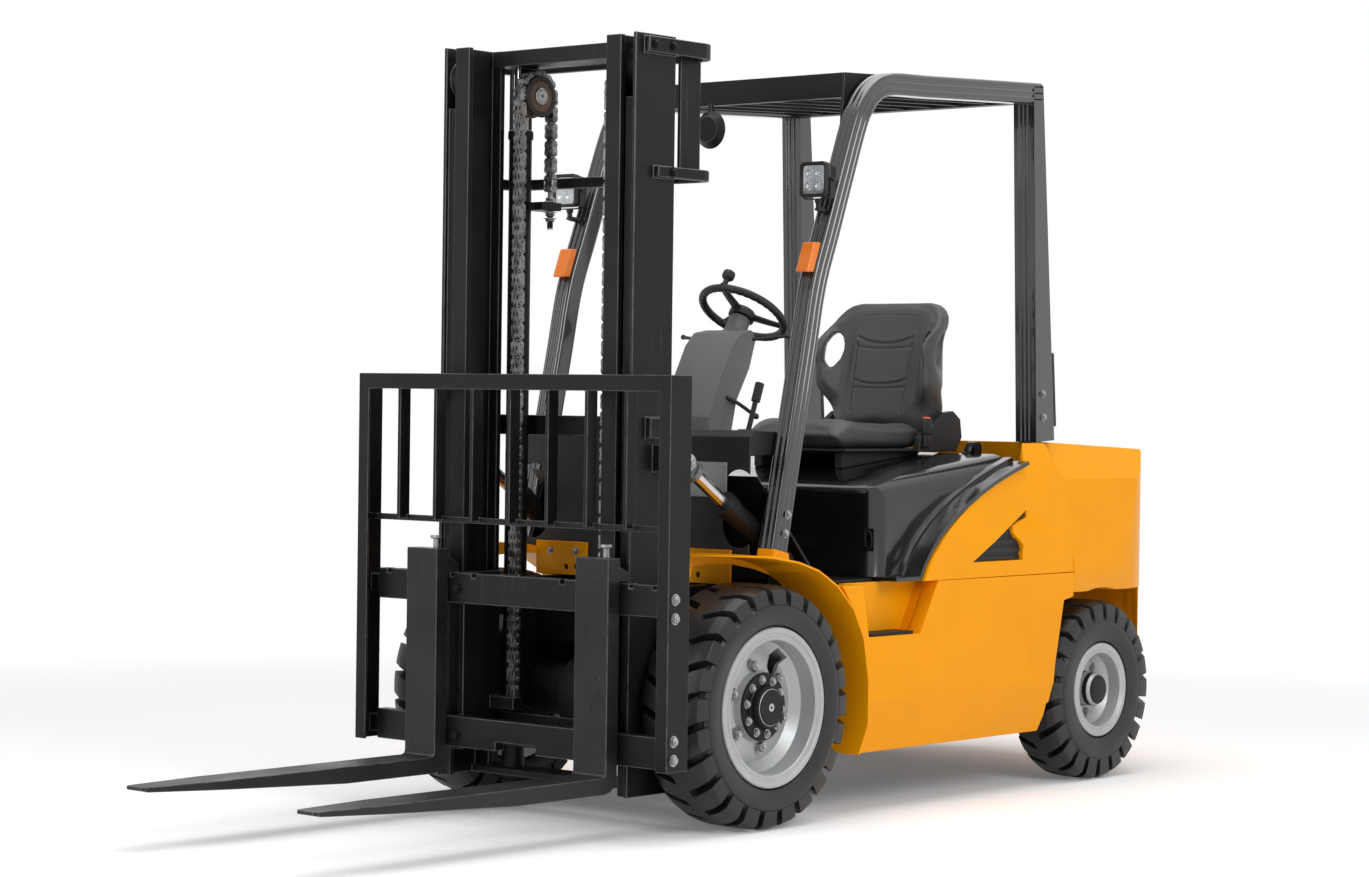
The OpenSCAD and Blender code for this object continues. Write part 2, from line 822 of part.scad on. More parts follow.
module steering_column() {
  foot = dash_back - seat_gap;
  color("#37393b") {
    along_y(-column_half, column_half) polygon([
      [foot, 1105], [foot, 1180], [-330, 1270], [-400, 1400], [-440, 1440], [-500, 1450], [-520, 1420],
      [-490, 1330], [-430, 1230], [-400, 1105]]);
    wheel_frame() translate([0, 0, wheel_hub_low - column_len])
      cylinder(h = column_len - seat_gap, r = column_r);
  }
}

module steering_wheel() {
  rim_r = wheel_r - wheel_rim_r;
  color("#1a1a1b") wheel_frame() {
    rotate_extrude($fn = 96) translate([rim_r, 0]) circle(r = wheel_rim_r, $fn = 24);
    translate([0, 0, wheel_hub_low]) cylinder(h = wheel_hub_h, r = wheel_hub_r);
    for (a = [90, 210, 330]) rotate([0, 0, a])
      box([wheel_hub_r - 12, -spoke_half, spoke_low], [rim_r - 1, spoke_half, spoke_low + spoke_t]);
    translate([0, rim_r, 8]) cylinder(h = knob_rise, r = knob_stem_r);
    translate([0, rim_r, knob_rise]) sphere(r = knob_r, $fn = 32);
  }
}

toe_slope = (toe_top[1] - toe_low[1] - floor_t) / (toe_top[0] - toe_t[0] - toe_low[0]);
// top of the toe board at x
function pedal_foot(x) = toe_low[1] + floor_t + (x - toe_low[0]) * toe_slope + 2 * seat_gap;

levers = 3;
lever_x = -330;
lever_y = -150;
lever_step = 46;
lever_h = 150;
lever_r = 6;
lever_knob_r = 18;
lever_lean = 8;
lever_base = [[-360, -290, 1085], [-110, 1145]];
brake_base = [[-330, 205, 1100], [255, 1145]];
brake_at = [-316, 230];
brake_lean = 20;
brake_h = 130;
brake_r = 8;
brake_grip_z = 110;
brake_grip_h = 60;
brake_grip_r = 14;
pedals = [-230, 60];
pedal_at = [-330, 800];
pedal_lean = 40;
pedal_half = [50, 45];
pedal_arm = [-345, -325];
pedal_arm_half = 10;

module controls() {
  face = dash_back - seat_gap;
  color("#1d1e1f") {
    for (i = [0 : levers - 1])
      translate([lever_x, lever_y - i * lever_step, cowl_top - 8]) rotate([0, -lever_lean, 0]) {
        cylinder(h = lever_h, r = lever_r);
        translate([0, 0, lever_h]) sphere(r = lever_knob_r, $fn = 32);
      }
    for (b = [lever_base, brake_base]) box(b[0], [face, b[1][0], b[1][1]]);
    translate([brake_at[0], brake_at[1], cowl_top - 20]) rotate([0, -brake_lean, 0]) {
      cylinder(h = brake_h, r = brake_r);
      translate([0, 0, brake_grip_z]) cylinder(h = brake_grip_h, r = brake_grip_r);
    }
    for (y = pedals) {
      translate([pedal_at[0], y, pedal_at[1]]) rotate([0, -pedal_lean, 0])
        box([-pedal_half[0], -pedal_half[1], -4], [pedal_half[0], pedal_half[1], 8]);
      along_y(y - pedal_arm_half, y + pedal_arm_half) polygon([
        [pedal_arm[0], pedal_foot(pedal_arm[0])], [pedal_arm[1], pedal_foot(pedal_arm[1])],
        [pedal_arm[1], pedal_at[1]], [pedal_arm[0], pedal_at[1]]]);
    }
  }
}

cw_half = body_half;
cw_top = 1112;
cw_round = 440;
cw_in = -1400;
cw_low = 200;
cw_height = 1000;
trunnion_brackets = [-130, 94];
bracket_t = 36;
bracket_half = 70;
bracket_drop = 52;
tow_half = 70;
tow_z = [430, 520];
tow_depth = 110;
tow_pin_r = 17;
cw_well_in = 84;
lift_hole_x = -1960;
lift_hole_r = 30;
arch_room = 42;

// plan outline of the counterweight with its rounded rear
module cw_plan() {
  polygon(concat(
    [[cw_in, -cw_half], [cw_in, cw_half]],
    arc(-rear_end + cw_round, cw_half - cw_round, cw_round, 90, 180, 10),
    arc(-rear_end + cw_round, -cw_half + cw_round, cw_round, 180, 270, 10)));
}

// counterweight before its holes: the outline from the side, above and behind, less the steered wheels' room
module counterweight_body() {
  difference() {
    intersection() {
      translate([0, 0, cw_low]) linear_extrude(cw_height) cw_plan();
      along_y(-cw_half, cw_half) polygon(concat(
        [for (p = cw_seam) p], [
          [-1460, cw_top], [180 - rear_end, 1085], [75 - rear_end, 1010], [10 - rear_end, 760],
          [-rear_end, seam_z], [14 - rear_end, 420], [60 - rear_end, 262], [200 - rear_end, 262],
          [200 - rear_end, wheel_top], [cw_front, wheel_top]]));
      along_x(-rear_end - 1, cw_in) polygon([
        [-cw_half + 60, cw_low], [-cw_half + 16, 600], [-cw_half, 700], [-cw_half + 30, 990],
        [-cw_half + 110, cw_top + 2], [cw_half - 110, cw_top + 2], [cw_half - 30, 990], [cw_half, 700],
        [cw_half - 16, 600], [cw_half - 60, cw_low]]);
    }
    both() {
      translate([rear_x, kingpin_y, 0]) cylinder(h = wheel_top, r = sweep_r);
      rod_y(rear_x, rear_z, kingpin_y + 80, cw_half + 2, rear_r + arch_room);
    }
  }
}

module counterweight() {
  color("#f2a900") difference() {
    union() {
      counterweight_body();
      for (x = trunnion_brackets)
        box([rear_x + x, -bracket_half, trunnion_z - bracket_drop],
          [rear_x + x + bracket_t, bracket_half, wheel_top + 5]);
    }
    rod_x(0, trunnion_z, rear_x - 200, rear_x + 200, trunnion_r + pin_gap);
    difference() {
      box([-rear_end - 1, -tow_half, tow_z[0]], [-rear_end + tow_depth, tow_half, tow_z[1]]);
      translate([-rear_end + tow_depth / 2, 0, tow_z[0] - 5])
        cylinder(h = tow_z[1] - tow_z[0] + 10, r = tow_pin_r);
    }
    box([cw_front, -guard_half + cw_well_in, deck_top + 1], [cw_in, guard_half - cw_well_in, cw_top + 100]);
    translate([lift_hole_x, 0, cw_top - 112]) cylinder(h = 200, r = lift_hole_r);
  }
}

// guard: the front pillar runs up into the roof rail
pillar_path = [
  [-129, 795], [-210, 1180], [-297, 1576], [-421, 1902], [-477, 2045], [-510, 2110], [-560, 2165],
  [-640, 2196], [-1440, guard_top - 32]];
post_low = [-1484, cw_top + seat_gap];
post_top = [-1420, guard_top - 4];
post_foot = 52;
post_head = [30, 24];
post_w = 80;
pillar_w = 68;
groove_d = 3;
groove_at = [-9, 9];
pillar_foot = [off(pillar_path, 0, -pillar_w / 2), off(pillar_path, 0, pillar_w / 2)];

module guard_frame() {
  color("#1f2021") both() {
    difference() {
      along_y(guard_in, guard_half) polygon(band(pillar_path, pillar_w / 2));
      for (d = groove_at) {
        along_y(guard_half - groove_d, guard_half + 1) polygon(band(beside(pillar_path, d), groove_d));
        along_y(guard_mid + d - groove_d, guard_mid + d + groove_d)
          polygon(band(beside(pillar_path, -pillar_w / 2), groove_d));
      }
    }
    along_y(guard_half - post_w, guard_half) polygon([
      post_low - [post_foot, 0], post_low + [post_foot, 0], post_top + [post_head[0], -60],
      post_top + [post_head[0], -4], post_top - [post_head[1], 0]]);
  }
}

roof_bars = 7;
roof_bar_t = 12;
roof_front = [-478, -500, -560];
roof_back = [-1380, -1420];
roof_low = 2147;
roof_rise = 75;
roof_lip = 17;
beam_depth = 62;
gusset_t = 8;
horn_at = [-470, -60, roof_low - 75];
horn_r = [60, 40];
horn_len = 20;

module guard_roof() {
  color("#1f2021") {
    roof_y = guard_in - seat_gap;
    post_in = guard_half - post_w - seat_gap;
    roof_top = roof_low + roof_rise;
    along_y(-roof_y, roof_y) polygon([
      [roof_front[0], roof_low], [roof_front[0], roof_top], [roof_front[2], roof_top],
      [roof_front[2], roof_top - roof_lip], [roof_front[1], roof_top - roof_lip], [roof_front[1], roof_low]]);
    both() along_y(roof_y - gusset_t, roof_y) polygon([
      [-466, 2060], [roof_front[0], roof_top], [-740, 2234], [-640, 2180], [-560, 2150], [-510, 2095]]);
    along_y(-post_in, post_in) polygon([
      [roof_back[0], guard_top - 6 - beam_depth + 2], [roof_back[0], guard_top - 6],
      [roof_back[1], guard_top - 4], [roof_back[1], guard_top - 4 - beam_depth]]);
    for (i = [1 : roof_bars]) {
      y = -roof_y + 2 * roof_y * i / (roof_bars + 1);
      along_y(y - roof_bar_t / 2, y + roof_bar_t / 2) polygon([
        [roof_front[2] + 1, roof_low + 19], [roof_front[2] + 1, roof_top - 1],
        [roof_back[0] - 1, guard_top - 8], [roof_back[0] - 1, guard_top - beam_depth]]);
    }
    translate(horn_at) {
      rod_y(0, 30, -4, 4, 10);
      rotate([0, 90, 0]) cylinder(h = horn_len, r1 = horn_r[0], r2 = horn_r[1]);
      box([-8, -6, 30], [6, 6, 80]);
    }
  }
}

// lamps on the pillars and posts
work_lamp_z = 1880;
work_lamp_x = [-345, -275];
work_lamp_y = [-76, 30];
work_lamp_half = 58;
lamp_arm_y = [-40, -20];
lamp_arm_half = 20;
turn_lamp_z = [1612, 1702];
turn_lamp_y = [-54, -8];
turn_lamp_t = 34;
rear_lamp_z = [1160, 1400];
rear_lamp_y = [-76, -6];
rear_lamp_t = 26;

pillar_lean = (pillar_path[3][0] - pillar_path[2][0]) / (pillar_path[3][1] - pillar_path[2][1]);
pillar_skin = pillar_w / 2 * sqrt(1 + pow(pillar_lean, 2)) + seat_gap;
// front face of the upper pillar at height z
function pillar_face(z) = pillar_path[2][0] + (z - pillar_path[2][1]) * pillar_lean + pillar_skin;

module work_lamps() {
  arm_z = [work_lamp_z - lamp_arm_half, work_lamp_z + lamp_arm_half];
  color("#2a2b2c") both() {
    box([work_lamp_x[0], guard_half + work_lamp_y[0], work_lamp_z - work_lamp_half],
      [work_lamp_x[1], guard_half + work_lamp_y[1], work_lamp_z + work_lamp_half]);
    along_y(guard_half + lamp_arm_y[0], guard_half + lamp_arm_y[1]) polygon([
      [work_lamp_x[0] + 1, arm_z[0]], [work_lamp_x[0] + 1, arm_z[1]], [pillar_face(arm_z[1]), arm_z[1]],
      [pillar_face(arm_z[0]), arm_z[0]]]);
  }
}

module turn_lamps() {
  feet = [for (z = turn_lamp_z) [pillar_face(z), z]];
  color("#ff8a1c") both() along_y(guard_half + turn_lamp_y[0], guard_half + turn_lamp_y[1])
    polygon([feet[0], feet[0] + [turn_lamp_t, 0], feet[1] + [turn_lamp_t, 0], feet[1]]);
}

post_lean = (post_top[0] - post_low[0] - post_head[1] + post_foot) / (post_top[1] - post_low[1]);
// rear face of the rear post at height z
function post_back(z) = post_low[0] - post_foot - seat_gap + (z - post_low[1]) * post_lean;

module rear_lamps() {
  feet = [for (z = rear_lamp_z) [post_back(z), z]];
  color("#b3201c") both() along_y(guard_half + rear_lamp_y[0], guard_half + rear_lamp_y[1])
    polygon([feet[0], feet[0] - [rear_lamp_t, 0], feet[1] - [rear_lamp_t, 0], feet[1]]);
}

// hood: a box with a sloping top and rounded shoulders, and a lip along the side panels
hood_half = frame_half;
hood_t = 10;
hood_back_top = [-1306, 1070];
hood_mid_top = [-838, 1018];
hood_edge_r = 36;
hood_edge_z = 942;
hood_corner_r = 60;
lip_t = 12;
lip_in = 8;
lip_ledge = 22;
hood_over = 100;
hood_slope = (hood_back_top[1] - hood_mid_top[1]) / (hood_mid_top[0] - hood_back_top[0]);
// height of the hood's sloping top at x
function hood_top(x) = hood_back_top[1] - (x - hood_back_top[0]) * hood_slope;

// side outline of the hood, with its outside taken in by t
module hood_side(t) {
  polygon(concat(
    [[hood_front - t, seam_z - t]],
    arc(hood_front - hood_edge_r, hood_edge_z, hood_edge_r - t, 0, 79, 5),
    [hood_mid_top - [0, t], hood_back_top - [-t, t]],
    [for (i = [len(swoosh) - 1 : -1 : 0]) off(swoosh, i, t - panel_gap / 2)]));
}

// section across the hood, drawn from its sloping top down
module hood_section(t) {
  polygon(concat(
    arc(hood_half - hood_corner_r, -hood_corner_r, hood_corner_r - t, 0, 90, 5),
    arc(hood_corner_r - hood_half, -hood_corner_r, hood_corner_r - t, 90, 180, 5),
    [[t - hood_half, -seam_z], [hood_half - t, -seam_z]]));
}

// plan outline of the hood with rounded front corners
module hood_plan(t) {
  polygon(concat(
    arc(hood_front - hood_corner_r, hood_half - hood_corner_r, hood_corner_r - t, 0, 90, 5),
    [[hood_back_top[0] - 1, hood_half - t], [hood_back_top[0] - 1, t - hood_half]],
    arc(hood_front - hood_corner_r, hood_corner_r - hood_half, hood_corner_r - t, 270, 360, 5)));
}

module hood_shell(t) {
  intersection() {
    along_y(-hood_half, hood_half) hood_side(t);
    translate([hood_back_top[0], 0, hood_back_top[1]]) rotate([0, atan(hood_slope), 0])
      along_x(-hood_over, hood_front - hood_back_top[0] + 2 * hood_over) hood_section(t);
    translate([0, 0, seam_z - 20]) linear_extrude(seam_z) hood_plan(t);
  }
}

module hood() {
  color("#18191a") {
    difference() {
      hood_shell(0);
      hood_shell(hood_t);
    }
    both() {
      along_y(hood_half - hood_t, body_half - lip_in)
        polygon(band(beside(swoosh, -(panel_gap + lip_t) / 2), lip_t / 2));
      along_y(hood_half - hood_t, hood_half + lip_ledge)
        polygon(band(beside(swoosh, -panel_gap / 2 - lip_t), lip_t));
      along_y(hinge_y - hinge_half, hinge_y + hinge_half) difference() {
        union() {
          polygon([
            hinge + [0, hinge_eye_r], hinge - [0, hinge_eye_r], hood_back_top + [8, -12],
            hood_back_top + [16, -1]]);
          translate(hinge) circle(r = hinge_eye_r);
        }
        translate(hinge) circle(r = hinge_r + pin_gap);
      }
      translate([0, 0, seam_z + 1]) linear_extrude(lip_t - 1) polygon([
        [hood_front, hood_half - hood_corner_r], [hood_front, body_half - lip_in],
        [swoosh[0][0], body_half - lip_in], [swoosh[0][0], hood_half - hood_t],
        [hood_front - hood_corner_r - hood_t, hood_half - hood_t],
        [hood_front - hood_corner_r - hood_t, hood_half - hood_corner_r]]);
    }
  }
}

seat_half = seat_w / 2;
seat_plate_z = 1073;
seat_plate_t = 10;
seat_plate_x = [-1290, -830];
slide_x = [-1260, -850];
slide_y = [90, 60];
hip_t = 26;
hip_tab_x = [-1260, -1200];
cushion_z = seat_plate_z + seat_plate_t + seat_gap;
cushion_in = 30;
cushion_half = seat_half - cushion_in;

module seat_base() {
  color("#2b2c2e") {
    box([seat_plate_x[0], -cushion_half, seat_plate_z],
      [seat_plate_x[1], cushion_half, seat_plate_z + seat_plate_t]);
    both() {
      along_y(seat_half - slide_y[0], seat_half - slide_y[1]) polygon([
        [slide_x[0], hood_top(slide_x[0]) + seat_gap], [slide_x[1], hood_top(slide_x[1]) + seat_gap],
        [slide_x[1], seat_plate_z + 1], [slide_x[0], seat_plate_z + 1]]);
      along_y(cushion_half + seat_gap, cushion_half + hip_t) polygon([
        [-1180, seat_plate_z], [-1390, seat_plate_z], [-1420, 1120], [-1410, 1180], [-1370, 1206],
        [-1320, 1200], [-1190, 1120]]);
      box([hip_tab_x[0], cushion_half - 1, seat_plate_z],
        [hip_tab_x[1], cushion_half + 10, seat_plate_z + seat_plate_t]);
    }
  }
}

cushion_back = -1268;

module seat_cushion() {
  color("#1c1c1d") along_y(-cushion_half, cushion_half) polygon([
    [-820, cushion_z], [-796, 1110], [-802, 1150], [-850, 1178], [-1000, 1170], [-1240, 1164],
    [cushion_back, 1130], [cushion_back, cushion_z]]);
}

// side outline of the seat back
back_side = [
  [cushion_back - seat_gap, 1120], [cushion_back - seat_gap, 1134], [-1252, 1190], [-1296, 1380],
  [-1330, 1530], [-1356, 1570], [-1396, 1568], [-1410, 1540], [-1396, 1300], [-1380, 1120]];
back_half = 232;
back_corner_r = 90;
back_corner_z = 1481;
wing_w = 46;

module seat_back() {
  color("#1c1c1d") intersection() {
    union() {
      along_y(-back_half, back_half) polygon(back_side);
      both() along_y(back_half - wing_w, back_half) polygon([
        [-1300, 1215], [-1210, 1270], [-1206, 1400], [-1262, 1490], [-1340, 1530], [-1380, 1300]]);
    }
    along_x(-1500, -1150) polygon(concat(
      [[cushion_half - cushion_in, 1119], [cushion_half, 1215], [back_half, 1290]],
      arc(back_half - back_corner_r, back_corner_z, back_corner_r, 0, 90, 5),
      arc(back_corner_r - back_half, back_corner_z, back_corner_r, 90, 180, 5),
      [[-back_half, 1290], [-cushion_half, 1215], [cushion_in - cushion_half, 1119]]));
  }
}

// outer mast: rails, straps around the back, axle bearings at the foot and lugs for the tilt rods
rail_lap = 16;
front_flange_set = 12;
front_flange_in = 5;
front_flange_drop = 180;
top_roller_drop = 92;
bearing_w = 42;
bearing_wall = 34;
straps = [
  [mast_top - 55, 46, 345, strap_rear], [anchor_high + 11, 32, 300, strap_rear],
  [1120, 60, 320, mid_strap_rear]];
tie_bar_set = [51, 39];
tie_bar_x = [10, 100];
tilt_lug_r = 26;
tilt_lug_x = [36, 80];
tilt_lug_rise = 50;
foot_back = 130;

module mast_outer() {
  color("#28292b") {
    both() {
      box([rail_back, mast_half - web_t, mast_bottom], [mast_front, mast_half, mast_top]);
      box([rail_back, inner_half - rail_lap, mast_bottom], [rail_back + flange_t, mast_half - 1, mast_top]);
      box([mast_front - flange_t - front_flange_set, inner_half + front_flange_in, mast_bottom],
        [mast_front - front_flange_set, mast_half - 1, mast_top - front_flange_drop]);
      rod_y(channel_x, mast_top - top_roller_drop, inner_web_out + 4, mast_half - 1, roller_r);
      along_y(mast_half - bearing_w, mast_half) difference() {
        polygon(concat(
          [[rail_back + 2, 560], [rail_back + 2, mast_bottom + 10]],
          arc(0, axle_z, journal_r + bearing_wall, -70, -250, 12), [[rail_back - 60, 520]]));
        translate([0, axle_z]) circle(r = journal_r + pin_gap);
      }
    }
    for (s = straps) translate([0, 0, s[0]]) linear_extrude(s[1]) strap_plan(s[2], s[3]);
    both() {
      box([strap_rear + tie_bar_x[0], mast_half - tie_bar_set[0], anchor_high + 30],
        [strap_rear + tie_bar_x[1], mast_half - tie_bar_set[1], mast_top - 40]);
      along_y(tilt_y - lug_half, tilt_y + lug_half) {
        translate(tilt_eye) circle(r = tilt_lug_r);
        polygon([
          tilt_eye - [0, tilt_lug_r], tilt_eye + [0, tilt_lug_r],
          [rail_back + tilt_lug_x[1], tilt_eye[1] + tilt_lug_rise],
          [rail_back + tilt_lug_x[1], tilt_eye[1] - tilt_lug_r]]);
      }
      box([rail_back + tilt_lug_x[0], mast_half - 1, tilt_eye[1] - tilt_lug_r],
        [rail_back + tilt_lug_x[1], tilt_y + lug_half, tilt_eye[1] + tilt_lug_rise]);
    }
    box([foot_back, -mast_half + 1, mast_bottom], [rail_back + 30, mast_half - 1, mast_bottom + foot_t]);
  }
}

// a strap wrapped around the back of the mast
module strap_plan(front, rear) {
  r = strap_bend_r;
  out = mast_half + strap_t;
  difference() {
    polygon(concat(
      [[front, -out], [front, out]], arc(rear + r, out - r, r, 90, 180, 6),
      arc(rear + r, -out + r, r, 180, 270, 6)));
    polygon(concat(
      [[front + 1, -mast_half + 1], [front + 1, mast_half - 1]],
      arc(rear + r, out - r, r - strap_t, 90, 180, 6),
      arc(rear + r, -out + r, r - strap_t, 180, 270, 6)));
  }
}

anchor_half = 26;
anchor_back = 20;
anchor_plate = [60, 36];
anchor_stem = [110, 30];
anchor_stem_r = 9;

module lift_barrels() {
  color("#2d2e30") both() {
    difference() {
      union() {
        translate([barrel_x, barrel_y, barrel_bottom]) cylinder(h = barrel_top - barrel_bottom, r = barrel_r);
        box([chain_back_x - anchor_back, chain_y - anchor_half, anchor_high - anchor_plate[0]],
          [barrel_x, barrel_y - 10, anchor_high - anchor_plate[1]]);
      }
      translate([barrel_x, barrel_y, barrel_bottom + barrel_floor])
        cylinder(h = barrel_top, r = rod_r + pin_gap);
    }
    translate([chain_back_x, chain_y, anchor_high - anchor_stem[0]])
      cylinder(h = anchor_stem[0] - anchor_stem[1], r = anchor_stem_r);
  }
}

wheel_plate = 40;
wheel_plate_gap = 8;
wheel_plate_t = 10;
wheel_plate_drop = 32;
beam_front = 40;
foot_beam = [5, 105];

module mast_inner() {
  color("#2f3032") {
    both() {
      box([inner_back, inner_web_out - inner_web_t, inner_bottom], [inner_front, inner_web_out, inner_top]);
      box([inner_back, inner_in, inner_bottom], [inner_back + flange_t, inner_half, inner_top]);
      box([inner_front - flange_t, inner_in, inner_bottom], [inner_front, inner_half, inner_top]);
      box([wheel_x - wheel_plate, chain_y + chain_w / 2 + wheel_plate_gap, wheel_z - wheel_plate_drop],
        [wheel_x + wheel_plate, chain_y + chain_w / 2 + wheel_plate_gap + wheel_plate_t, beam_z + 1]);
    }
    box([barrel_x - strap_room, -inner_in - 4, beam_z],
      [inner_back + beam_front, inner_in + 4, inner_top - 4]);
    box([inner_back, -inner_in - 1, inner_bottom + foot_beam[0]],
      [inner_back + inner_web_t, inner_in + 1, inner_bottom + foot_beam[1]]);
  }
}

rod_low = barrel_bottom + barrel_floor + lift_rest + foot_t;

module lift_rods() {
  color("#d4d6d8") both()
    translate([barrel_x, barrel_y, rod_low]) cylinder(h = beam_z - rod_low, r = rod_r);
}

wheel_lip_t = 4;
wheel_lip_in = 6;
wheel_pin_r = 18;

module chain_wheels() {
  half = chain_w / 2;
  lip = half + wheel_lip_t;
  lip_r = chain_wheel_r - wheel_lip_in;
  groove_r = chain_wheel_r - chain_t / 2;
  color("#6b5a48") both() {
    wheel_turn(wheel_x, chain_y, wheel_z) polygon([
      [0, -lip], [lip_r, -lip], [lip_r, -half], [groove_r, -half], [groove_r, half], [lip_r, half],
      [lip_r, lip], [0, lip]]);
    rod_y(wheel_x, wheel_z, chain_y, chain_y + half + wheel_plate_gap, wheel_pin_r);
  }
}

module chain_front() {
  color("#3c342c") both()
    box([chain_x - chain_t / 2, chain_y - chain_w / 2, anchor_low],
      [chain_x + chain_t / 2, chain_y + chain_w / 2, wheel_z]);
}

module chain_rear() {
  color("#3c342c") both() {
    box([chain_back_x - chain_t / 2, chain_y - chain_w / 2, anchor_high - anchor_stem[1]],
      [chain_back_x + chain_t / 2, chain_y + chain_w / 2, wheel_z]);
    translate([wheel_x, chain_y + chain_w / 2, wheel_z]) rotate([90, 0, 0]) difference() {
      intersection() {
        cylinder(h = chain_w, r = chain_wheel_r + chain_t / 2);
        translate([-2 * chain_wheel_r, 0, -1]) cube([4 * chain_wheel_r, 2 * chain_wheel_r, chain_w + 2]);
      }
      translate([0, 0, -1]) cylinder(h = chain_w + 2, r = chain_wheel_r - chain_t / 2 + seat_gap);
    }
  }
}

plate_gap = 4;
plate_t = 18;
plate_out = inner_in - plate_gap;
plate_in = plate_out - plate_t;
plate_back = 60;
notches = 6;
notch_step = 88;
notch_half = 8;
notch_d = 14;
middle_half = 80;
middle_d = 26;
carriage_rollers = [bar_low + 80, bar_high + 30];
roller_side = 14;
chain_block = [-13, 26];
chain_block_h = 36;

module carriage() {
  color("#303133") {
    difference() {
      union() for (z = [bar_low, bar_high])
        box([bar_back, -bar_half, z], [bar_front, bar_half, z + bar_h]);
      for (i = [-notches : notches]) if (abs(i) > 1)
        box([bar_back - 1, i * notch_step - notch_half, bar_high + bar_h - notch_d],
          [bar_front + 1, i * notch_step + notch_half, bar_high + bar_h + 1]);
      box([bar_back - 1, -middle_half, bar_low - 1], [bar_front + 1, middle_half, bar_low + middle_d]);
    }
    both() {
      box([channel_x - plate_back, plate_in, bar_low], [bar_back + 1, plate_out, bar_high + bar_h]);
      for (z = carriage_rollers)
        rod_y(channel_x, z, plate_out - 1, inner_web_out - roller_side, roller_r - 0.5);
      box([chain_x + chain_block[0], chain_y - anchor_half, anchor_low - chain_block_h],
        [chain_x + chain_block[1], plate_in + 1, anchor_low - seat_gap]);
    }
  }
}

backrest_ahead = 47;
backrest_front = bar_front + backrest_ahead;
upright_t = 10;
upright_flange = [42, 8];
ear_z = 20;
ear_set = 4;
top_bar = [10, 46];
low_bar_x = [46, 34];
low_bar_z = [862, 880];
backrest_bars = 3;
backrest_step = 150;
backrest_bar_half = 6;

module load_backrest() {
  color("#232426") {
    both() {
      box([bar_back - ear_set, backrest_half - upright_t, bar_low],
        [backrest_front, backrest_half, backrest_top]);
      box([backrest_front - upright_flange[1], backrest_half - upright_flange[0], bar_low],
        [backrest_front, backrest_half - 1, backrest_top]);
      for (z = [bar_low + ear_z, bar_high + ear_z])
        box([bar_back + ear_set, bar_half + 0.5, z],
          [bar_front - ear_set, backrest_half - upright_t + 1, z + bar_h - 2 * ear_z]);
    }
    box([backrest_front - top_bar[0], -backrest_half + 5, backrest_top - top_bar[1]],
      [backrest_front, backrest_half - 5, backrest_top]);
    box([backrest_front - low_bar_x[0], -backrest_half + 5, low_bar_z[0]],
      [backrest_front - low_bar_x[1], backrest_half - 5, low_bar_z[1]]);
    for (i = [-backrest_bars : backrest_bars])
      box([backrest_front - low_bar_x[0], i * backrest_step - backrest_bar_half, low_bar_z[0] + 8],
        [backrest_front - 4, i * backrest_step + backrest_bar_half, backrest_top - 5]);
  }
}

fork_tip_t = 10;
fork_tip_half = 30;
fork_taper = 350;
fork_point = 260;
heel_r = 50;
heel_in = 14;
bar_top = bar_high + bar_h;
hook_side = 5;
hook_reach = 10;
hook_gap = 2;
hook_drop = 16;
pad_half = 45;
pad_z = [10, 60];
lock_pin_r = 9;
lock_pin_h = 84;
lock_pin_set = 12;

// side outline of a fork: blade, heel and shank
module fork_outline() {
  polygon(concat(
    [[fork_tip, fork_top - fork_tip_t], [fork_tip, fork_top], [fork_face + heel_in, fork_top],
      [fork_face + 4, fork_top + 4], [fork_face, fork_top + heel_in], [fork_face, fork_hook],
      [fork_back, fork_hook]],
    arc(fork_back + heel_r, fork_top - fork_t + heel_r, heel_r, 180, 270, 6),
    [[fork_face + fork_taper, fork_top - fork_t], [fork_tip - 20, fork_top - heel_in]]));
}

module forks() {
  half = fork_w / 2;
  color("#2a2b2d") both() translate([0, fork_y, 0]) {
    intersection() {
      along_y(-half, half) fork_outline();
      linear_extrude(fork_hook + 1) polygon([
        [fork_back - 1, -half], [fork_tip - fork_point, -half], [fork_tip - 10, -fork_tip_half - 10],
        [fork_tip, -fork_tip_half], [fork_tip, fork_tip_half], [fork_tip - 10, fork_tip_half + 10],
        [fork_tip - fork_point, half], [fork_back - 1, half]]);
    }
    along_y(hook_side - half, half - hook_side) polygon([
      [fork_back + 1, bar_top + hook_gap], [fork_back + 1, bar_top + 50],
      [bar_back - hook_reach, bar_top + 24], [bar_back - hook_reach, bar_top - hook_drop],
      [bar_back - hook_gap, bar_top - hook_drop],
      [bar_back - hook_gap, bar_top + hook_gap]]);
    for (z = [bar_low, bar_high])
      box([bar_front + seat_gap, -pad_half, z + pad_z[0]], [fork_back + 1, pad_half, z + pad_z[1]]);
    translate([fork_back - lock_pin_set, 0, bar_top + 20]) cylinder(h = lock_pin_h, r = lock_pin_r);
  }
}

// places a tilt cylinder's own frame: z along it, from the rear pivot to the rod's eye
module tilt_frame() {
  translate([tilt_pivot[0], tilt_y, tilt_pivot[1]]) rotate([0, 90 - tilt_angle, 0]) children();
}

tilt_r = 34;
tilt_rod_r = 20;
tilt_barrel_low = 30;
tilt_barrel_end = 330;
gland_len = 36;
gland_proud = 4;
tilt_eye_r = 30;
tilt_neck = [24, 40];
tilt_bore_low = 70;
tilt_rod_low = 190;
clevis_low = 46;
clevis_disc = [60, 40];
clevis_r = 26;
clevis_foot = 44;
clevis_pin_r = 16;
clevis_pin_t = 8;

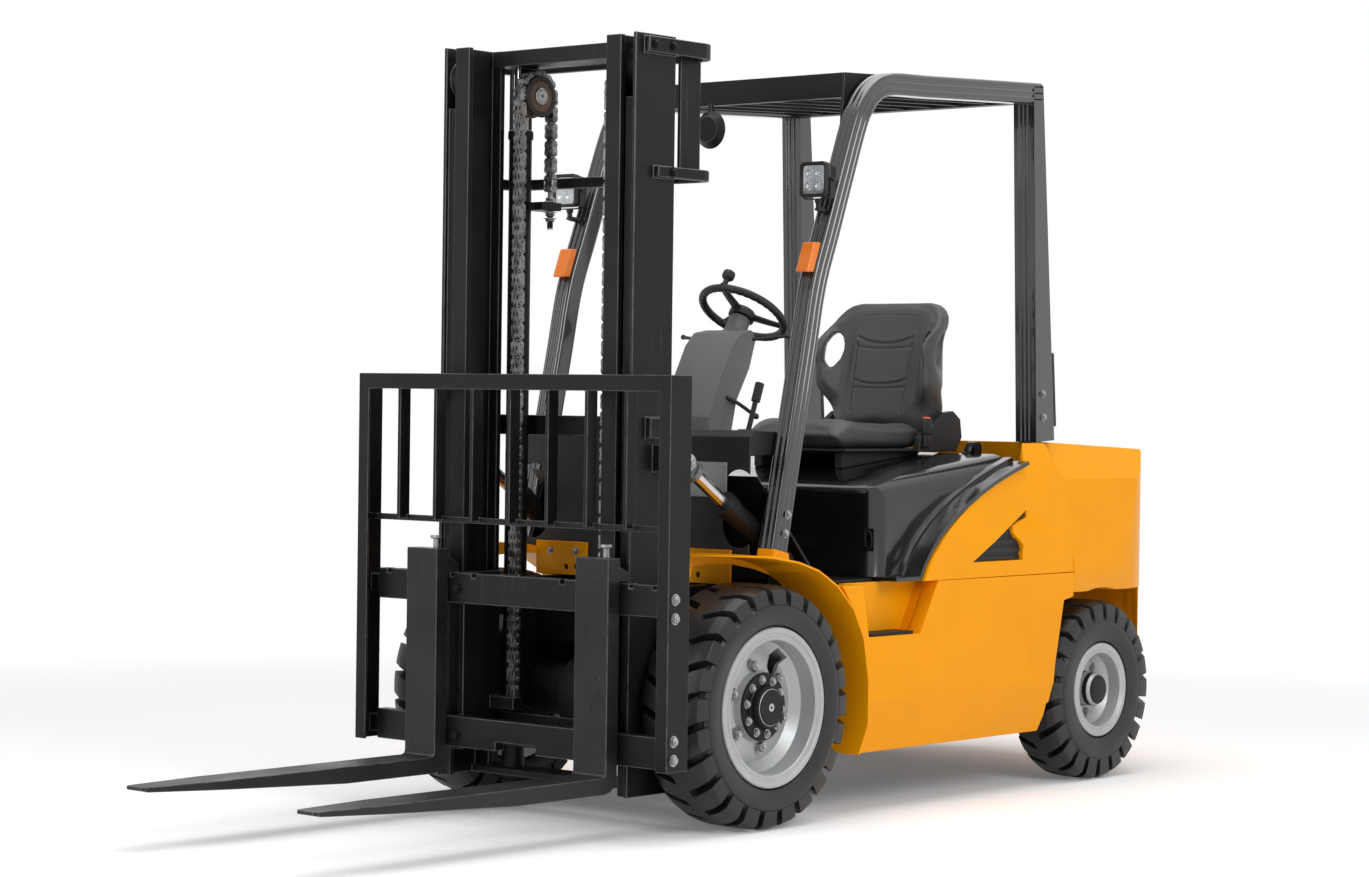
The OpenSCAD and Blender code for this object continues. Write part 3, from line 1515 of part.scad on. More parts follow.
module tilt_barrels() {
  color("#2b2c2e") both() tilt_frame() difference() {
    union() {
      translate([0, 0, tilt_barrel_low]) cylinder(h = tilt_barrel_end - tilt_barrel_low, r = tilt_r);
      translate([0, 0, tilt_barrel_end - gland_len]) cylinder(h = gland_len, r = tilt_r + gland_proud);
      rod_y(0, 0, -eye_half, eye_half, tilt_eye_r);
      box([-tilt_neck[0], -eye_half, 0], [tilt_neck[0], eye_half, tilt_neck[1]]);
    }
    translate([0, 0, tilt_bore_low]) cylinder(h = tilt_len, r = tilt_rod_r + pin_gap);
    rod_y(0, 0, -2 * eye_half, 2 * eye_half, tilt_pin_r + pin_gap);
  }
}

module tilt_rods() {
  color("#d4d6d8") both() tilt_frame() {
    translate([0, 0, tilt_rod_low]) cylinder(h = tilt_len - tilt_rod_low - clevis_low, r = tilt_rod_r);
    translate([0, 0, tilt_len - clevis_disc[0]]) cylinder(h = clevis_disc[0] - clevis_disc[1], r = tilt_r);
    for (y = [-lug_half - seat_gap - cheek_t, lug_half + seat_gap]) {
      box([-clevis_r, y, tilt_len - clevis_foot], [clevis_r, y + cheek_t, tilt_len]);
      rod_y(0, tilt_len, y, y + cheek_t, clevis_r);
    }
    for (y = [-lug_half - cheek_t - clevis_pin_t, lug_half + cheek_t])
      rod_y(0, tilt_len, y, y + clevis_pin_t, clevis_pin_r);
  }
}

at_origin() frame();
at_origin() battery_pack();
at_origin() body_sides();
at_origin() fenders();
at_origin() floor_plates();
at_origin() cowl();
at_origin() steering_column();
at_origin() controls();
at_origin() counterweight();
at_origin() vent_grilles();
at_origin() guard_frame();
at_origin() guard_roof();
at_origin() work_lamps();
at_origin() turn_lamps();
at_origin() rear_lamps();
at_origin() drive_axle();
at_origin() steer_axle();
at_origin() hood();
at_origin() seat_base();
at_origin() seat_cushion();
at_origin() seat_back();
at_origin() steering_wheel();
at_origin() front_tyre_left();
at_origin() front_rim_left();
at_origin() front_tyre_right();
at_origin() front_rim_right();
at_origin() knuckle_left();
at_origin() knuckle_right();
at_origin() rear_tyre_left();
at_origin() rear_rim_left();
at_origin() rear_tyre_right();
at_origin() rear_rim_right();
at_origin() steer_rod();
at_origin() mast_outer();
at_origin() lift_barrels();
at_origin() mast_inner();
at_origin() lift_rods();
at_origin() chain_wheels();
at_origin() chain_front();
at_origin() chain_rear();
at_origin() carriage();
at_origin() load_backrest();
at_origin() forks();
at_origin() tilt_barrels();
at_origin() tilt_rods();
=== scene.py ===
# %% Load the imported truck
import math
import bmesh
import bpy
import numpy as np
from mathutils import Matrix, Vector
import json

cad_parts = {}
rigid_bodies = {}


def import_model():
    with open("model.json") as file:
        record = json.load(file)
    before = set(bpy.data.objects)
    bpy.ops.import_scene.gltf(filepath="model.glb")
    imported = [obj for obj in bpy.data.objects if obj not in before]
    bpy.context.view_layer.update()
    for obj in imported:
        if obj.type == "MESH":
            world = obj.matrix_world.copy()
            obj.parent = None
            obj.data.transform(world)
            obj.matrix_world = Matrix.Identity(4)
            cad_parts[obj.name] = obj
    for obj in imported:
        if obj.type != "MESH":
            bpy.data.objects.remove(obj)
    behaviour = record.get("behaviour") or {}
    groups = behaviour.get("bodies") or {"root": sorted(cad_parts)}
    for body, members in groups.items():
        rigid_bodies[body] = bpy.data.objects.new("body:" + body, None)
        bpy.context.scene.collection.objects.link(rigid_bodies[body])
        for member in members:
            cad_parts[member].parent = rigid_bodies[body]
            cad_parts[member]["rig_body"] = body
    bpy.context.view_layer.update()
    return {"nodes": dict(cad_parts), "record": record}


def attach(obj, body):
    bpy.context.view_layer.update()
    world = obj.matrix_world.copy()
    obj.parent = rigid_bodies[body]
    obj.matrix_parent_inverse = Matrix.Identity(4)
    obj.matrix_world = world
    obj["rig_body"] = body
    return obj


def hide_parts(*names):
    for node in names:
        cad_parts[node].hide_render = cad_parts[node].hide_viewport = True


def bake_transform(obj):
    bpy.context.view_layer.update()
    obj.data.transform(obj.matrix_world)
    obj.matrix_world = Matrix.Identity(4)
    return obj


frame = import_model()

# %% [markdown]
# The truck is drawn about its front axle, which lies 0.35 m ahead of the middle of its length.
# Sizes below are in metres from that axle, so one helper moves them into the shared frame.

# %% Places on the truck
AXLE_X = 0.350
FRONT_AXLE = np.array([AXLE_X, 0.502, 0.3525])
REAR_AXLE = np.array([AXLE_X - 1.740, 0.500, 0.295])
SIDES = ((1, "left"), (-1, "right"))


def at(x, y, z):
    """A point measured from the front axle line, moved into the shared frame."""
    return np.array([x + AXLE_X, y, z])


print("front axle at", FRONT_AXLE, "rear axle at", REAR_AXLE)

# %% [markdown]
# The photograph was taken from the front left with a long lens at about chest height.
# A camera fitted to the wheels, mast and forks gives its place, its turn and its lens.

# %% Camera
CAMERA_PLACE = at(6.9243, 6.1967, 1.2341)
YAW, PITCH, ROLL = np.radians([220.643, -0.731, 0.770])
LENS_MM, SENSOR_MM = 81.77, 36


def put(name, data):
    """A new object for some data, in the scene."""
    made = bpy.data.objects.new(name, data)
    bpy.context.scene.collection.objects.link(made)
    return made


def unit(vectors):
    """Vectors along the last axis of an array, scaled to length 1."""
    return vectors / np.linalg.norm(vectors, axis=-1, keepdims=True)


ahead = np.array([math.cos(YAW) * math.cos(PITCH), math.sin(YAW) * math.cos(PITCH), math.sin(PITCH)])
level_right = unit(np.cross(ahead, [0, 0, 1]))
level_up = np.cross(level_right, ahead)
right = math.cos(ROLL) * level_right + math.sin(ROLL) * level_up
up = -math.sin(ROLL) * level_right + math.cos(ROLL) * level_up

camera = put("camera", bpy.data.cameras.new("camera"))
camera.matrix_world = Matrix([*np.stack([right, up, -ahead, CAMERA_PLACE], -1).tolist(), [0, 0, 0, 1]])
camera.data.sensor_fit = "HORIZONTAL"
camera.data.sensor_width = SENSOR_MM
camera.data.lens = LENS_MM
camera.data.clip_end = 200
bpy.context.scene.camera = camera
print("camera", round(float(np.linalg.norm(CAMERA_PLACE - at(-0.5, 0, 1))), 2), "m from the truck")

# %% [markdown]
# The photograph is a studio cut-out on white. A pale floor that turns to plain white far away, a white
# world for what the camera and the gloss see, and three broad lamps give that soft light. Shaders are
# wired up node by node, so a few small helpers come first.

# %% Shader helpers
def link(tree, out, into):
    """Joins an output socket to an input socket."""
    tree.links.new(out, into)


def add(tree, kind, inputs=(), **settings):
    """A shader node with its settings; each named or numbered input takes a value or another node's output."""
    node = tree.nodes.new("ShaderNode" + kind)
    for key, value in settings.items():
        setattr(node, key, value)
    for key, value in dict(inputs).items():
        if isinstance(value, bpy.types.NodeSocket):
            link(tree, value, node.inputs[key])
        else:
            node.inputs[key].default_value = value
    return node


def math_node(tree, operation, a, b):
    """The result of a math node whose two inputs are sockets or numbers."""
    return add(tree, "Math", {0: a, 1: b}, operation=operation).outputs["Value"]


def background_ray(tree):
    """1 for a ray that shows the background, straight from the camera or by way of gloss or glass, else 0."""
    ray = add(tree, "LightPath").outputs
    seen = math_node(tree, "MAXIMUM", ray["Is Camera Ray"], ray["Is Glossy Ray"])
    return math_node(tree, "MAXIMUM", seen, ray["Is Transmission Ray"])


print("shader helpers ready")

# %% [markdown]
# The floor is one wide square. Near the truck it is matt paint that takes the shadow, lifted a little where
# it is seen as background, and from some metres out it fades into plain white.

# %% Floor
FLOOR_HALF = 60.0
WHITE_FROM, WHITE_AT = 2.4, 5.5
FLOOR_PAINT = (0.97, 0.97, 0.97, 1)
FLOOR_LIFT = 0.12

floor_mesh = bpy.data.meshes.new("floor")
floor_mesh.from_pydata([(-FLOOR_HALF, -FLOOR_HALF, 0), (FLOOR_HALF, -FLOOR_HALF, 0),
                        (FLOOR_HALF, FLOOR_HALF, 0), (-FLOOR_HALF, FLOOR_HALF, 0)], [], [(0, 1, 2, 3)])
put("floor", floor_mesh)

floor_paint = bpy.data.materials.new("studio_floor")
floor_paint.use_nodes = True
tree = floor_paint.node_tree
tree.nodes.clear()
reach = add(tree, "VectorMath", {0: add(tree, "TexCoord").outputs["Object"]}, operation="LENGTH")
fade = add(tree, "MapRange", {"Value": reach.outputs["Value"], "From Min": WHITE_FROM, "From Max": WHITE_AT})
matt = add(tree, "BsdfDiffuse", {"Color": FLOOR_PAINT})
paler = add(tree, "Emission", {"Strength": math_node(tree, "MULTIPLY", background_ray(tree), FLOOR_LIFT)})
near = add(tree, "AddShader", {0: matt.outputs["BSDF"], 1: paler.outputs["Emission"]})
far = add(tree, "Emission")
both = add(tree, "MixShader", {"Fac": fade.outputs["Result"], 1: near.outputs["Shader"], 2: far.outputs["Emission"]})
add(tree, "OutputMaterial", {"Surface": both.outputs["Shader"]})
floor_mesh.materials.append(floor_paint)
print("floor", 2 * FLOOR_HALF, "m wide, white from", WHITE_AT, "m out")

# %% [markdown]
# The world is white to look at but lights the truck more weakly, and three square lamps shape it: one above,
# the key light on its left and one in front.

# %% World and lamps
WORLD_LIGHT = 0.38

world = bpy.data.worlds.new("studio")
bpy.context.scene.world = world
world.use_nodes = True
tree = world.node_tree
tree.nodes.clear()
strength = add(tree, "MapRange", {"Value": background_ray(tree), "To Min": WORLD_LIGHT, "To Max": 1.0})
sky = add(tree, "Background", {"Color": (1, 1, 1, 1), "Strength": strength.outputs["Result"]})
add(tree, "OutputWorld", {"Surface": sky.outputs["Background"]})


def softbox(name, spot, aim, size, watts):
    """A square area lamp at spot, turned to face aim."""
    lamp = bpy.data.lights.new(name, "AREA")
    lamp.size, lamp.energy = size, watts
    box = put(name, lamp)
    box.location = spot
    box.rotation_euler = Vector(np.subtract(aim, spot)).to_track_quat("-Z", "Y").to_euler()


softbox("top_softbox", (-0.5, 0.5, 6.0), (0, 0, 0.8), 5.0, 225)
softbox("key_softbox", (1.5, 6.5, 4.2), (-0.3, 0, 0.9), 3.0, 175)
softbox("front_softbox", (6.5, -1.0, 3.4), (0.2, 0, 1.0), 3.0, 125)
bpy.context.scene.view_settings.view_transform = "Standard"
print("world and 3 lamps made")

# %% [markdown]
# Every painted or moulded surface has two scales of unevenness: a fine skin, such as orange peel,
# casting grain or pebbled vinyl, and a broad drift of tone from handling. Near the ground dust settles on
# it, and where metal rubs the paint wears off in streaks. Each of these is a shader group that the finishes
# place with their own values.

# %% Shader groups
def new_group(name, inputs, output):
    """An empty shader group with float inputs {name: default} and one float output: the group, its input
    node's outputs, and the socket that its result goes to."""
    group = bpy.data.node_groups.new(name, "ShaderNodeTree")
    for label, default in inputs.items():
        group.interface.new_socket(label, in_out="INPUT", socket_type="NodeSocketFloat").default_value = default
    group.interface.new_socket(output, in_out="OUTPUT", socket_type="NodeSocketFloat")
    return group, group.nodes.new("NodeGroupInput").outputs, group.nodes.new("NodeGroupOutput").inputs[output]


skin, take, give = new_group("fine_skin", {"Scale": 400, "Softness": 0.5}, "Height")
pebble = add(skin, "TexNoise", {"Vector": add(skin, "TexCoord").outputs["Object"], "Scale": take["Scale"],
                                "Roughness": take["Softness"], "Detail": 3})
link(skin, pebble.outputs["Fac"], give)

drift, take, give = new_group("tone_drift", {"Scale": 4, "Low": 0.9, "High": 1.1}, "Factor")
cloud = add(drift, "TexNoise", {"Vector": add(drift, "TexCoord").outputs["Object"],
                                "Scale": take["Scale"], "Detail": 5})
spread = add(drift, "MapRange", {"Value": cloud.outputs["Fac"], "From Min": 0.3, "From Max": 0.7,
                                 "To Min": take["Low"], "To Max": take["High"]})
link(drift, spread.outputs["Result"], give)

dust, take, give = new_group("ground_dust", {"Height": 0.5, "Amount": 0.3}, "Mask")
spot = add(dust, "TexCoord").outputs["Object"]
height = add(dust, "SeparateXYZ", {"Vector": spot}).outputs["Z"]
specks = add(dust, "TexNoise", {"Vector": spot, "Scale": 22, "Detail": 8, "Roughness": 0.7})
low_down = add(dust, "MapRange", {"Value": height, "From Max": take["Height"], "To Min": 1, "To Max": 0})
speck_mask = add(dust, "MapRange", {"Value": specks.outputs["Fac"], "From Min": 0.42, "From Max": 0.68})
lying = math_node(dust, "MULTIPLY", low_down.outputs["Result"], speck_mask.outputs["Result"])
link(dust, math_node(dust, "MULTIPLY", lying, take["Amount"]), give)

scuffs, take, give = new_group("rub_streaks", {"Amount": 0.3, "Stretch X": 4, "Stretch Y": 60,
                                               "Stretch Z": 60}, "Mask")
spot = add(scuffs, "TexCoord").outputs["Object"]
sizes = add(scuffs, "CombineXYZ", {axis: take["Stretch " + axis] for axis in "XYZ"})
scaled = add(scuffs, "VectorMath", {0: spot, 1: sizes.outputs["Vector"]}, operation="MULTIPLY")
streaks = add(scuffs, "TexNoise", {"Vector": scaled.outputs["Vector"], "Scale": 1, "Detail": 6, "Roughness": 0.65})
patches = add(scuffs, "TexNoise", {"Vector": spot, "Scale": 7, "Detail": 3})
thin = add(scuffs, "MapRange", {"Value": streaks.outputs["Fac"], "From Min": 0.56, "From Max": 0.74})
wide = add(scuffs, "MapRange", {"Value": patches.outputs["Fac"], "From Min": 0.42, "From Max": 0.66})
rubbed = math_node(scuffs, "MULTIPLY", thin.outputs["Result"], wide.outputs["Result"])
link(scuffs, math_node(scuffs, "MULTIPLY", rubbed, take["Amount"]), give)
print("shader groups:", [g.name for g in bpy.data.node_groups])

# %% [markdown]
# A finish is one Principled shader: a base colour that drifts a little, a roughness that follows the
# same drift, a bump from the fine skin, streaks where metal rubs and, near the ground, a veil of dust.

# %% Finishes
DUST_COLOUR = (0.21, 0.18, 0.14, 1)
BARE_STEEL = (0.20, 0.195, 0.19, 1)
COAT_ROUGH, BUMP_STRENGTH = 0.06, 0.6
FINISHES = {}


def finish(name, colour, rough, skin_scale=500, skin_depth=0.0004, metal=0.0, coat=0.0, tone=(0.9, 1.1), gloss=0.5,
           dust_amount=0.0, dust_height=0.6, drift_scale=5.0, scuff=0.0, streak=(4, 60, 60)):
    """A named material of one colour with drifting tone, fine bump, scuffs and ground dust."""
    material = FINISHES[name] = bpy.data.materials.new(name)
    material.use_nodes = True
    tree = material.node_tree
    shader = tree.nodes["Principled BSDF"].inputs
    for label, value in (("Metallic", metal), ("Specular IOR Level", gloss), ("Coat Weight", coat),
                         ("Coat Roughness", COAT_ROUGH)):
        shader[label].default_value = value

    toned = add(tree, "Group", {"Scale": drift_scale, "Low": tone[0], "High": tone[1]},
                node_tree=drift).outputs["Factor"]
    shade = add(tree, "VectorMath", {0: colour, "Scale": toned}, operation="SCALE").outputs["Vector"]
    dusty = add(tree, "Group", {"Height": dust_height, "Amount": dust_amount}, node_tree=dust).outputs["Mask"]
    coloured = add(tree, "Mix", {"Factor": dusty, "A": shade, "B": DUST_COLOUR}, data_type="RGBA").outputs["Result"]
    if scuff:
        stretch = {"Stretch " + axis: value for axis, value in zip("XYZ", streak)}
        rub = add(tree, "Group", {"Amount": scuff, **stretch}, node_tree=scuffs).outputs["Mask"]
        coloured = add(tree, "Mix", {"Factor": rub, "A": coloured, "B": BARE_STEEL},
                       data_type="RGBA").outputs["Result"]
    link(tree, coloured, shader["Base Color"])
    link(tree, math_node(tree, "ADD", math_node(tree, "MULTIPLY", toned, rough), dusty), shader["Roughness"])

    grain = add(tree, "Group", {"Scale": skin_scale}, node_tree=skin).outputs["Height"]
    bump = add(tree, "Bump", {"Strength": BUMP_STRENGTH, "Distance": skin_depth, "Height": grain})
    link(tree, bump.outputs["Normal"], shader["Normal"])


finish("yellow_paint", (0.90, 0.345, 0.002), 0.30, 240, 0.0002, tone=(0.97, 1.03), gloss=0.10)
finish("counterweight_paint", (0.90, 0.345, 0.002), 0.34, 90, 0.0006, tone=(0.96, 1.03), gloss=0.10)
finish("black_paint", (0.0065, 0.0065, 0.0070), 0.36, 350, 0.0003, tone=(0.85, 1.2), gloss=0.20)
finish("guard_paint", (0.010, 0.010, 0.0105), 0.20, 300, 0.0002, coat=0.8, tone=(0.9, 1.12), gloss=0.60)
finish("mast_paint", (0.0065, 0.0065, 0.0070), 0.38, 420, 0.0004, tone=(0.8, 1.25), gloss=0.20, scuff=0.10,
       streak=(60, 60, 3))
finish("fork_steel", (0.016, 0.016, 0.0165), 0.36, 260, 0.0006, tone=(0.75, 1.35), gloss=0.24, scuff=0.16,
       streak=(3, 70, 70))
# A lighter grey for the rounds on the black parts: a painted highlight where light would catch the edges.
finish("edge_highlight_paint", (0.050, 0.050, 0.051), 0.30, 300, 0.0003, tone=(0.45, 1.5), drift_scale=18, gloss=0.5)
finish("hood_plastic", (0.006, 0.006, 0.0066), 0.16, 160, 0.0001, coat=0.5, tone=(0.92, 1.1), gloss=0.45)
finish("cowl_plastic", (0.015, 0.015, 0.0155), 0.50, 900, 0.0005, tone=(0.9, 1.12), gloss=0.30)
finish("column_plastic", (0.135, 0.135, 0.137), 0.50, 800, 0.0005, tone=(0.92, 1.1), gloss=0.35)
finish("rubber_boot", (0.010, 0.010, 0.010), 0.48, 700, 0.0003, tone=(0.9, 1.15), gloss=0.4)
finish("cast_axle", (0.009, 0.009, 0.0095), 0.62, 130, 0.0016, tone=(0.75, 1.3), dust_amount=0.10, gloss=0.25)
finish("wheel_silver", (0.43, 0.44, 0.45), 0.36, 300, 0.0004, metal=0.35, tone=(0.88, 1.08), dust_amount=0.06)
finish("bolt_zinc", (0.36, 0.36, 0.37), 0.34, 600, 0.0002, metal=0.9, tone=(0.7, 1.2), drift_scale=60)
finish("clevis_steel", (0.15, 0.15, 0.155), 0.36, 200, 0.0006, metal=0.7, tone=(0.7, 1.3), drift_scale=25)
finish("plate_alloy", (0.36, 0.37, 0.38), 0.42, 900, 0.0002, metal=0.5, tone=(0.92, 1.06), drift_scale=20)
finish("tyre_rubber", (0.011, 0.011, 0.0113), 0.40, 420, 0.0007, tone=(0.75, 1.3), dust_amount=0.06, dust_height=0.4,
       drift_scale=9, gloss=0.42)
finish("rod_chrome", (0.55, 0.55, 0.57), 0.20, 900, 0.0001, metal=1.0, tone=(0.9, 1.1))
finish("chain_steel", (0.24, 0.235, 0.23), 0.32, 500, 0.0004, metal=0.85, tone=(0.55, 1.4), drift_scale=40)
finish("wheel_wear", (0.110, 0.062, 0.036), 0.50, 300, 0.0006, metal=0.3, tone=(0.6, 1.4), drift_scale=30)
finish("seat_vinyl", (0.055, 0.055, 0.056), 0.42, 620, 0.0007, tone=(0.92, 1.12), gloss=0.40)
finish("lamp_amber", (0.80, 0.19, 0.010), 0.18, 300, 0.0001, coat=0.3, tone=(0.88, 1.05), gloss=0.3)
finish("lamp_red", (0.42, 0.012, 0.008), 0.18, 300, 0.0001, coat=0.3, tone=(0.9, 1.05), gloss=0.3)
finish("lamp_case", (0.010, 0.010, 0.0105), 0.42, 700, 0.0004, gloss=0.35)
finish("lamp_lens", (0.50, 0.52, 0.54), 0.10, 900, 0.0001, metal=0.6, coat=0.5, tone=(0.8, 1.15), drift_scale=40)
finish("buckle_orange", (0.72, 0.13, 0.010), 0.35, 500, 0.0002, tone=(0.95, 1.05))
finish("battery_case", (0.05, 0.05, 0.052), 0.6, 400, 0.0006)
for part in frame["record"]["subparts"]:
    node = frame["nodes"][part["node"]]
    node.data.materials.clear()
    node.data.materials.append(FINISHES[part["material_slot"]])
print("finishes:", len(FINISHES))

# %% [markdown]
# New pieces are grids of points. These helpers turn arrays of points into faces and objects, so each
# piece below only has to say its own formula.

# %% Mesh helpers
MERGE, FLAT = 1e-6, math.radians(0.5)


def full_turn(steps):
    """Angles of so many even steps around a circle."""
    return np.linspace(0, 2 * math.pi, steps, endpoint=False)


def ramp(values, start, end):
    """0 up to start, 1 from end on and a straight rise between; end may also lie below start."""
    return np.clip((values - start) / (end - start), 0, 1)


def quads(rows, columns, close_rows=False, close_columns=False):
    """Corner numbers of the faces of a grid of points, with either direction closed into a ring."""
    i, j = np.meshgrid(np.arange(rows if close_rows else rows - 1),
                       np.arange(columns if close_columns else columns - 1), indexing="ij")
    next_i, next_j = (i + 1) % rows, (j + 1) % columns
    corners = [i * columns + j, next_i * columns + j, next_i * columns + next_j, i * columns + next_j]
    return np.stack(corners, -1).reshape(-1, 4)


def merged(mesh, flatten=False):
    """Merges a mesh's doubled points, then joins its flat neighbours or turns its faces outwards."""
    shape = bmesh.new()
    shape.from_mesh(mesh)
    bmesh.ops.remove_doubles(shape, verts=shape.verts, dist=MERGE)
    if flatten:
        bmesh.ops.dissolve_limit(shape, angle_limit=FLAT, verts=shape.verts, edges=shape.edges)
    else:
        bmesh.ops.recalc_face_normals(shape, faces=shape.faces)
    shape.to_mesh(mesh)
    shape.free()


def grid_mesh(name, points, faces, weld=True):
    """A mesh from points and faces; a welded one is merged and faces outwards."""
    mesh = bpy.data.meshes.new(name)
    mesh.from_pydata(np.asarray(points, float).reshape(-1, 3).tolist(), [], np.asarray(faces).tolist())
    if weld:
        merged(mesh)
    return mesh


def shaded(mesh, sharp):
    """Smooth shading but for edges sharper than an angle in degrees."""
    mesh.shade_smooth()
    mesh.set_sharp_from_angle(angle=math.radians(sharp))


def piece(name, points, faces, material, body, sharp=35, stands_for=None, weld=True, slot=None):
    """An object from points and faces that rides on a body and may stand for a CAD node."""
    mesh = grid_mesh(name, points, faces, weld)
    shaded(mesh, sharp)
    mesh.materials.append(FINISHES[material])
    made = put(name, mesh)
    if body:
        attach(made, body)
    if stands_for:
        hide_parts(stands_for)
    return made


def joined(parts):
    """Points and faces of several grids put into one mesh."""
    points = [np.asarray(p, float).reshape(-1, 3) for p, _ in parts]
    starts = np.cumsum([0] + [len(p) for p in points[:-1]])
    return np.vstack(points), np.vstack([faces + start for (_, faces), start in zip(parts, starts)])


def both_sides(make):
    """One mesh of what make(side) gives on the left, side 1, and on the right, side -1."""
    return joined([make(side) for side, _ in SIDES])


def stacked(rows):
    """Closed rings of points stacked into a skin, with each end drawn to its middle."""
    rows = np.asarray(rows, float)
    caps = np.broadcast_to(rows[[0, -1]].mean(1, keepdims=True), (2,) + rows.shape[1:])
    rows = np.concatenate([caps[:1], rows, caps[1:]])
    return rows, quads(rows.shape[0], rows.shape[1], close_columns=True)


def circle(steps, first, second):
    """Points of a unit circle in the plane of two unit vectors: cos t * first + sin t * second."""
    t = full_turn(steps)[:, None]
    return np.cos(t) * first + np.sin(t) * second


def copied(faces, count, size):
    """The faces of one grid of so many points, numbered on for so many copies of it."""
    return (faces[None] + (np.arange(count) * size)[:, None, None]).reshape(-1, 4)


def cross_axes(axis):
    """An axis as a unit vector, and two more that are square to it and to each other."""
    axis = unit(np.asarray(axis, float))
    first = unit(np.cross(axis, np.eye(3)[np.argmin(np.abs(axis))]))
    return axis, first, np.cross(axis, first)


def turned(profile, origin, axis, turns=48):
    """Profile of (radius, along) turned about an axis: origin + along * axis + radius * (cos t, sin t)."""
    radius, along = np.asarray(profile, float).T
    axis, first, second = cross_axes(axis)
    ring = circle(turns, first, second)
    points = np.asarray(origin) + along[:, None, None] * axis + radius[:, None, None] * ring[None]
    return points, quads(len(radius), turns, close_columns=True)


def tube(path, radius, sides=14, plane=(0, 1, 0)):
    """A round section carried along a path that bends about the plane's normal, closed at both ends."""
    path = np.asarray(path, float)
    ahead = unit(np.gradient(path, axis=0))
    first = unit(np.cross(ahead, np.asarray(plane, float)))
    second = np.cross(ahead, first)
    return stacked(path[:, None] + radius * circle(sides, first[:, None], second[:, None]))


def through(points, steps):
    """A smooth path through points: between two of them, p(t) is the Catmull-Rom cubic of four neighbours."""
    p = np.asarray(points, float)
    p = np.vstack([2 * p[0] - p[1], p, 2 * p[-1] - p[-2]])
    t = np.linspace(0, 1, steps, endpoint=False)[None, :, None]
    a, b, c, d = p[:-3, None], p[1:-2, None], p[2:-1, None], p[3:, None]
    curve = 0.5 * (2 * b + (c - a) * t + (2 * a - 5 * b + 4 * c - d) * t ** 2 + (3 * b - a - 3 * c + d) * t ** 3)
    return np.vstack([curve.reshape(-1, p.shape[1]), p[-2]])


NUT_SIDES = 12
HEX = np.where(np.arange(NUT_SIDES) % 2 == 0, 1.0, 0.866)
# rows of a nut on its washer: radius, height, and whether the row is six-sided
NUT_ROWS = np.array([[0, 0, 0], [1.42, 0, 0], [1.42, 0.16, 0], [1, 0.16, 1], [1, 0.86, 1], [0.84, 1, 0], [0.5, 1, 0],
                     [0.5, 1.28, 0], [0.4, 1.36, 0], [0, 1.36, 0]])


def nuts(spots, axis, radius, height):
    """Hex nuts on washers: spot + height * row * axis + radius * row * (1 or the hexagon) around it."""
    spots = np.asarray(spots, float).reshape(-1, 3)
    axis, first, second = cross_axes(axis)
    ring = circle(NUT_SIDES, first, second)
    reach = radius * NUT_ROWS[:, :1] * np.where(NUT_ROWS[:, 2:] > 0, HEX[None, :], 1.0)
    shape = height * NUT_ROWS[:, 1][:, None, None] * axis + reach[:, :, None] * ring[None]
    points = spots[:, None, None] + shape[None]
    faces = quads(len(NUT_ROWS), NUT_SIDES, close_columns=True)
    return points, copied(faces, len(spots), len(NUT_ROWS) * NUT_SIDES)


def rounded_box(low, high, radius, steps=4):
    """A box with all its edges rounded: an inner box's corners, each pushed out along a unit sphere's patch."""
    low, high = np.asarray(low, float), np.asarray(high, float)
    middle, half = (low + high) / 2, (high - low) / 2
    lat, lon = (np.radians(np.concatenate([np.linspace(k, k + 90, steps + 1) for k in starts]))
                for starts in ((-90, 0), (0, 90, 180, 270)))
    ball = np.stack([np.cos(lat)[:, None] * np.cos(lon), np.cos(lat)[:, None] * np.sin(lon),
                     np.sin(lat)[:, None] + 0 * lon], -1)
    middle_lon = np.radians(np.repeat([45, 135, 225, 315], steps + 1))
    sign = np.stack([np.sign(np.cos(middle_lon))[None] + 0 * lat[:, None],
                     np.sign(np.sin(middle_lon))[None] + 0 * lat[:, None],
                     np.repeat([-1, 1], steps + 1)[:, None] + 0 * lon[None]], -1)
    return stacked(middle + sign * (half - radius) + radius * ball)


print("mesh helpers ready")

# %% [markdown]
# The tyres are solid industrial ones with deep lugs. The tyre is a ring of cross sections. Each row
# has two heights, the lug's face and the groove's floor, and a wave around the ring picks one of them.
# The rows of the two shoulders are turned half a lug apart, and slanted, as on the real tread.

# %% Tyres
# fractions of one lug's pitch: groove walls, groove floor, then the face of the block
LUG_STEPS = np.array([0.0, 0.025, 0.14, 0.255, 0.28, 0.33, 0.48, 0.64, 0.80, 0.95])
LUG_RISE = np.array([1.0, 0.0, 0.0, 0.0, 1.0, 1.0, 1.0, 1.0, 1.0, 1.0])
LUG_SLANT, LUG_DEPTH, FIRST_LUG_ROW = 0.55, 0.30, 8
TYRE_ROUND, TYRE_ANGLE = 0.0022, math.radians(32)
FRONT_TYRE = dict(radius=0.3525, half=0.111, seat=0.205, flange=0.230, bead=0.094, lugs=24)
REAR_TYRE = dict(radius=0.295, half=0.0875, seat=0.127, flange=0.153, bead=0.070, lugs=22)


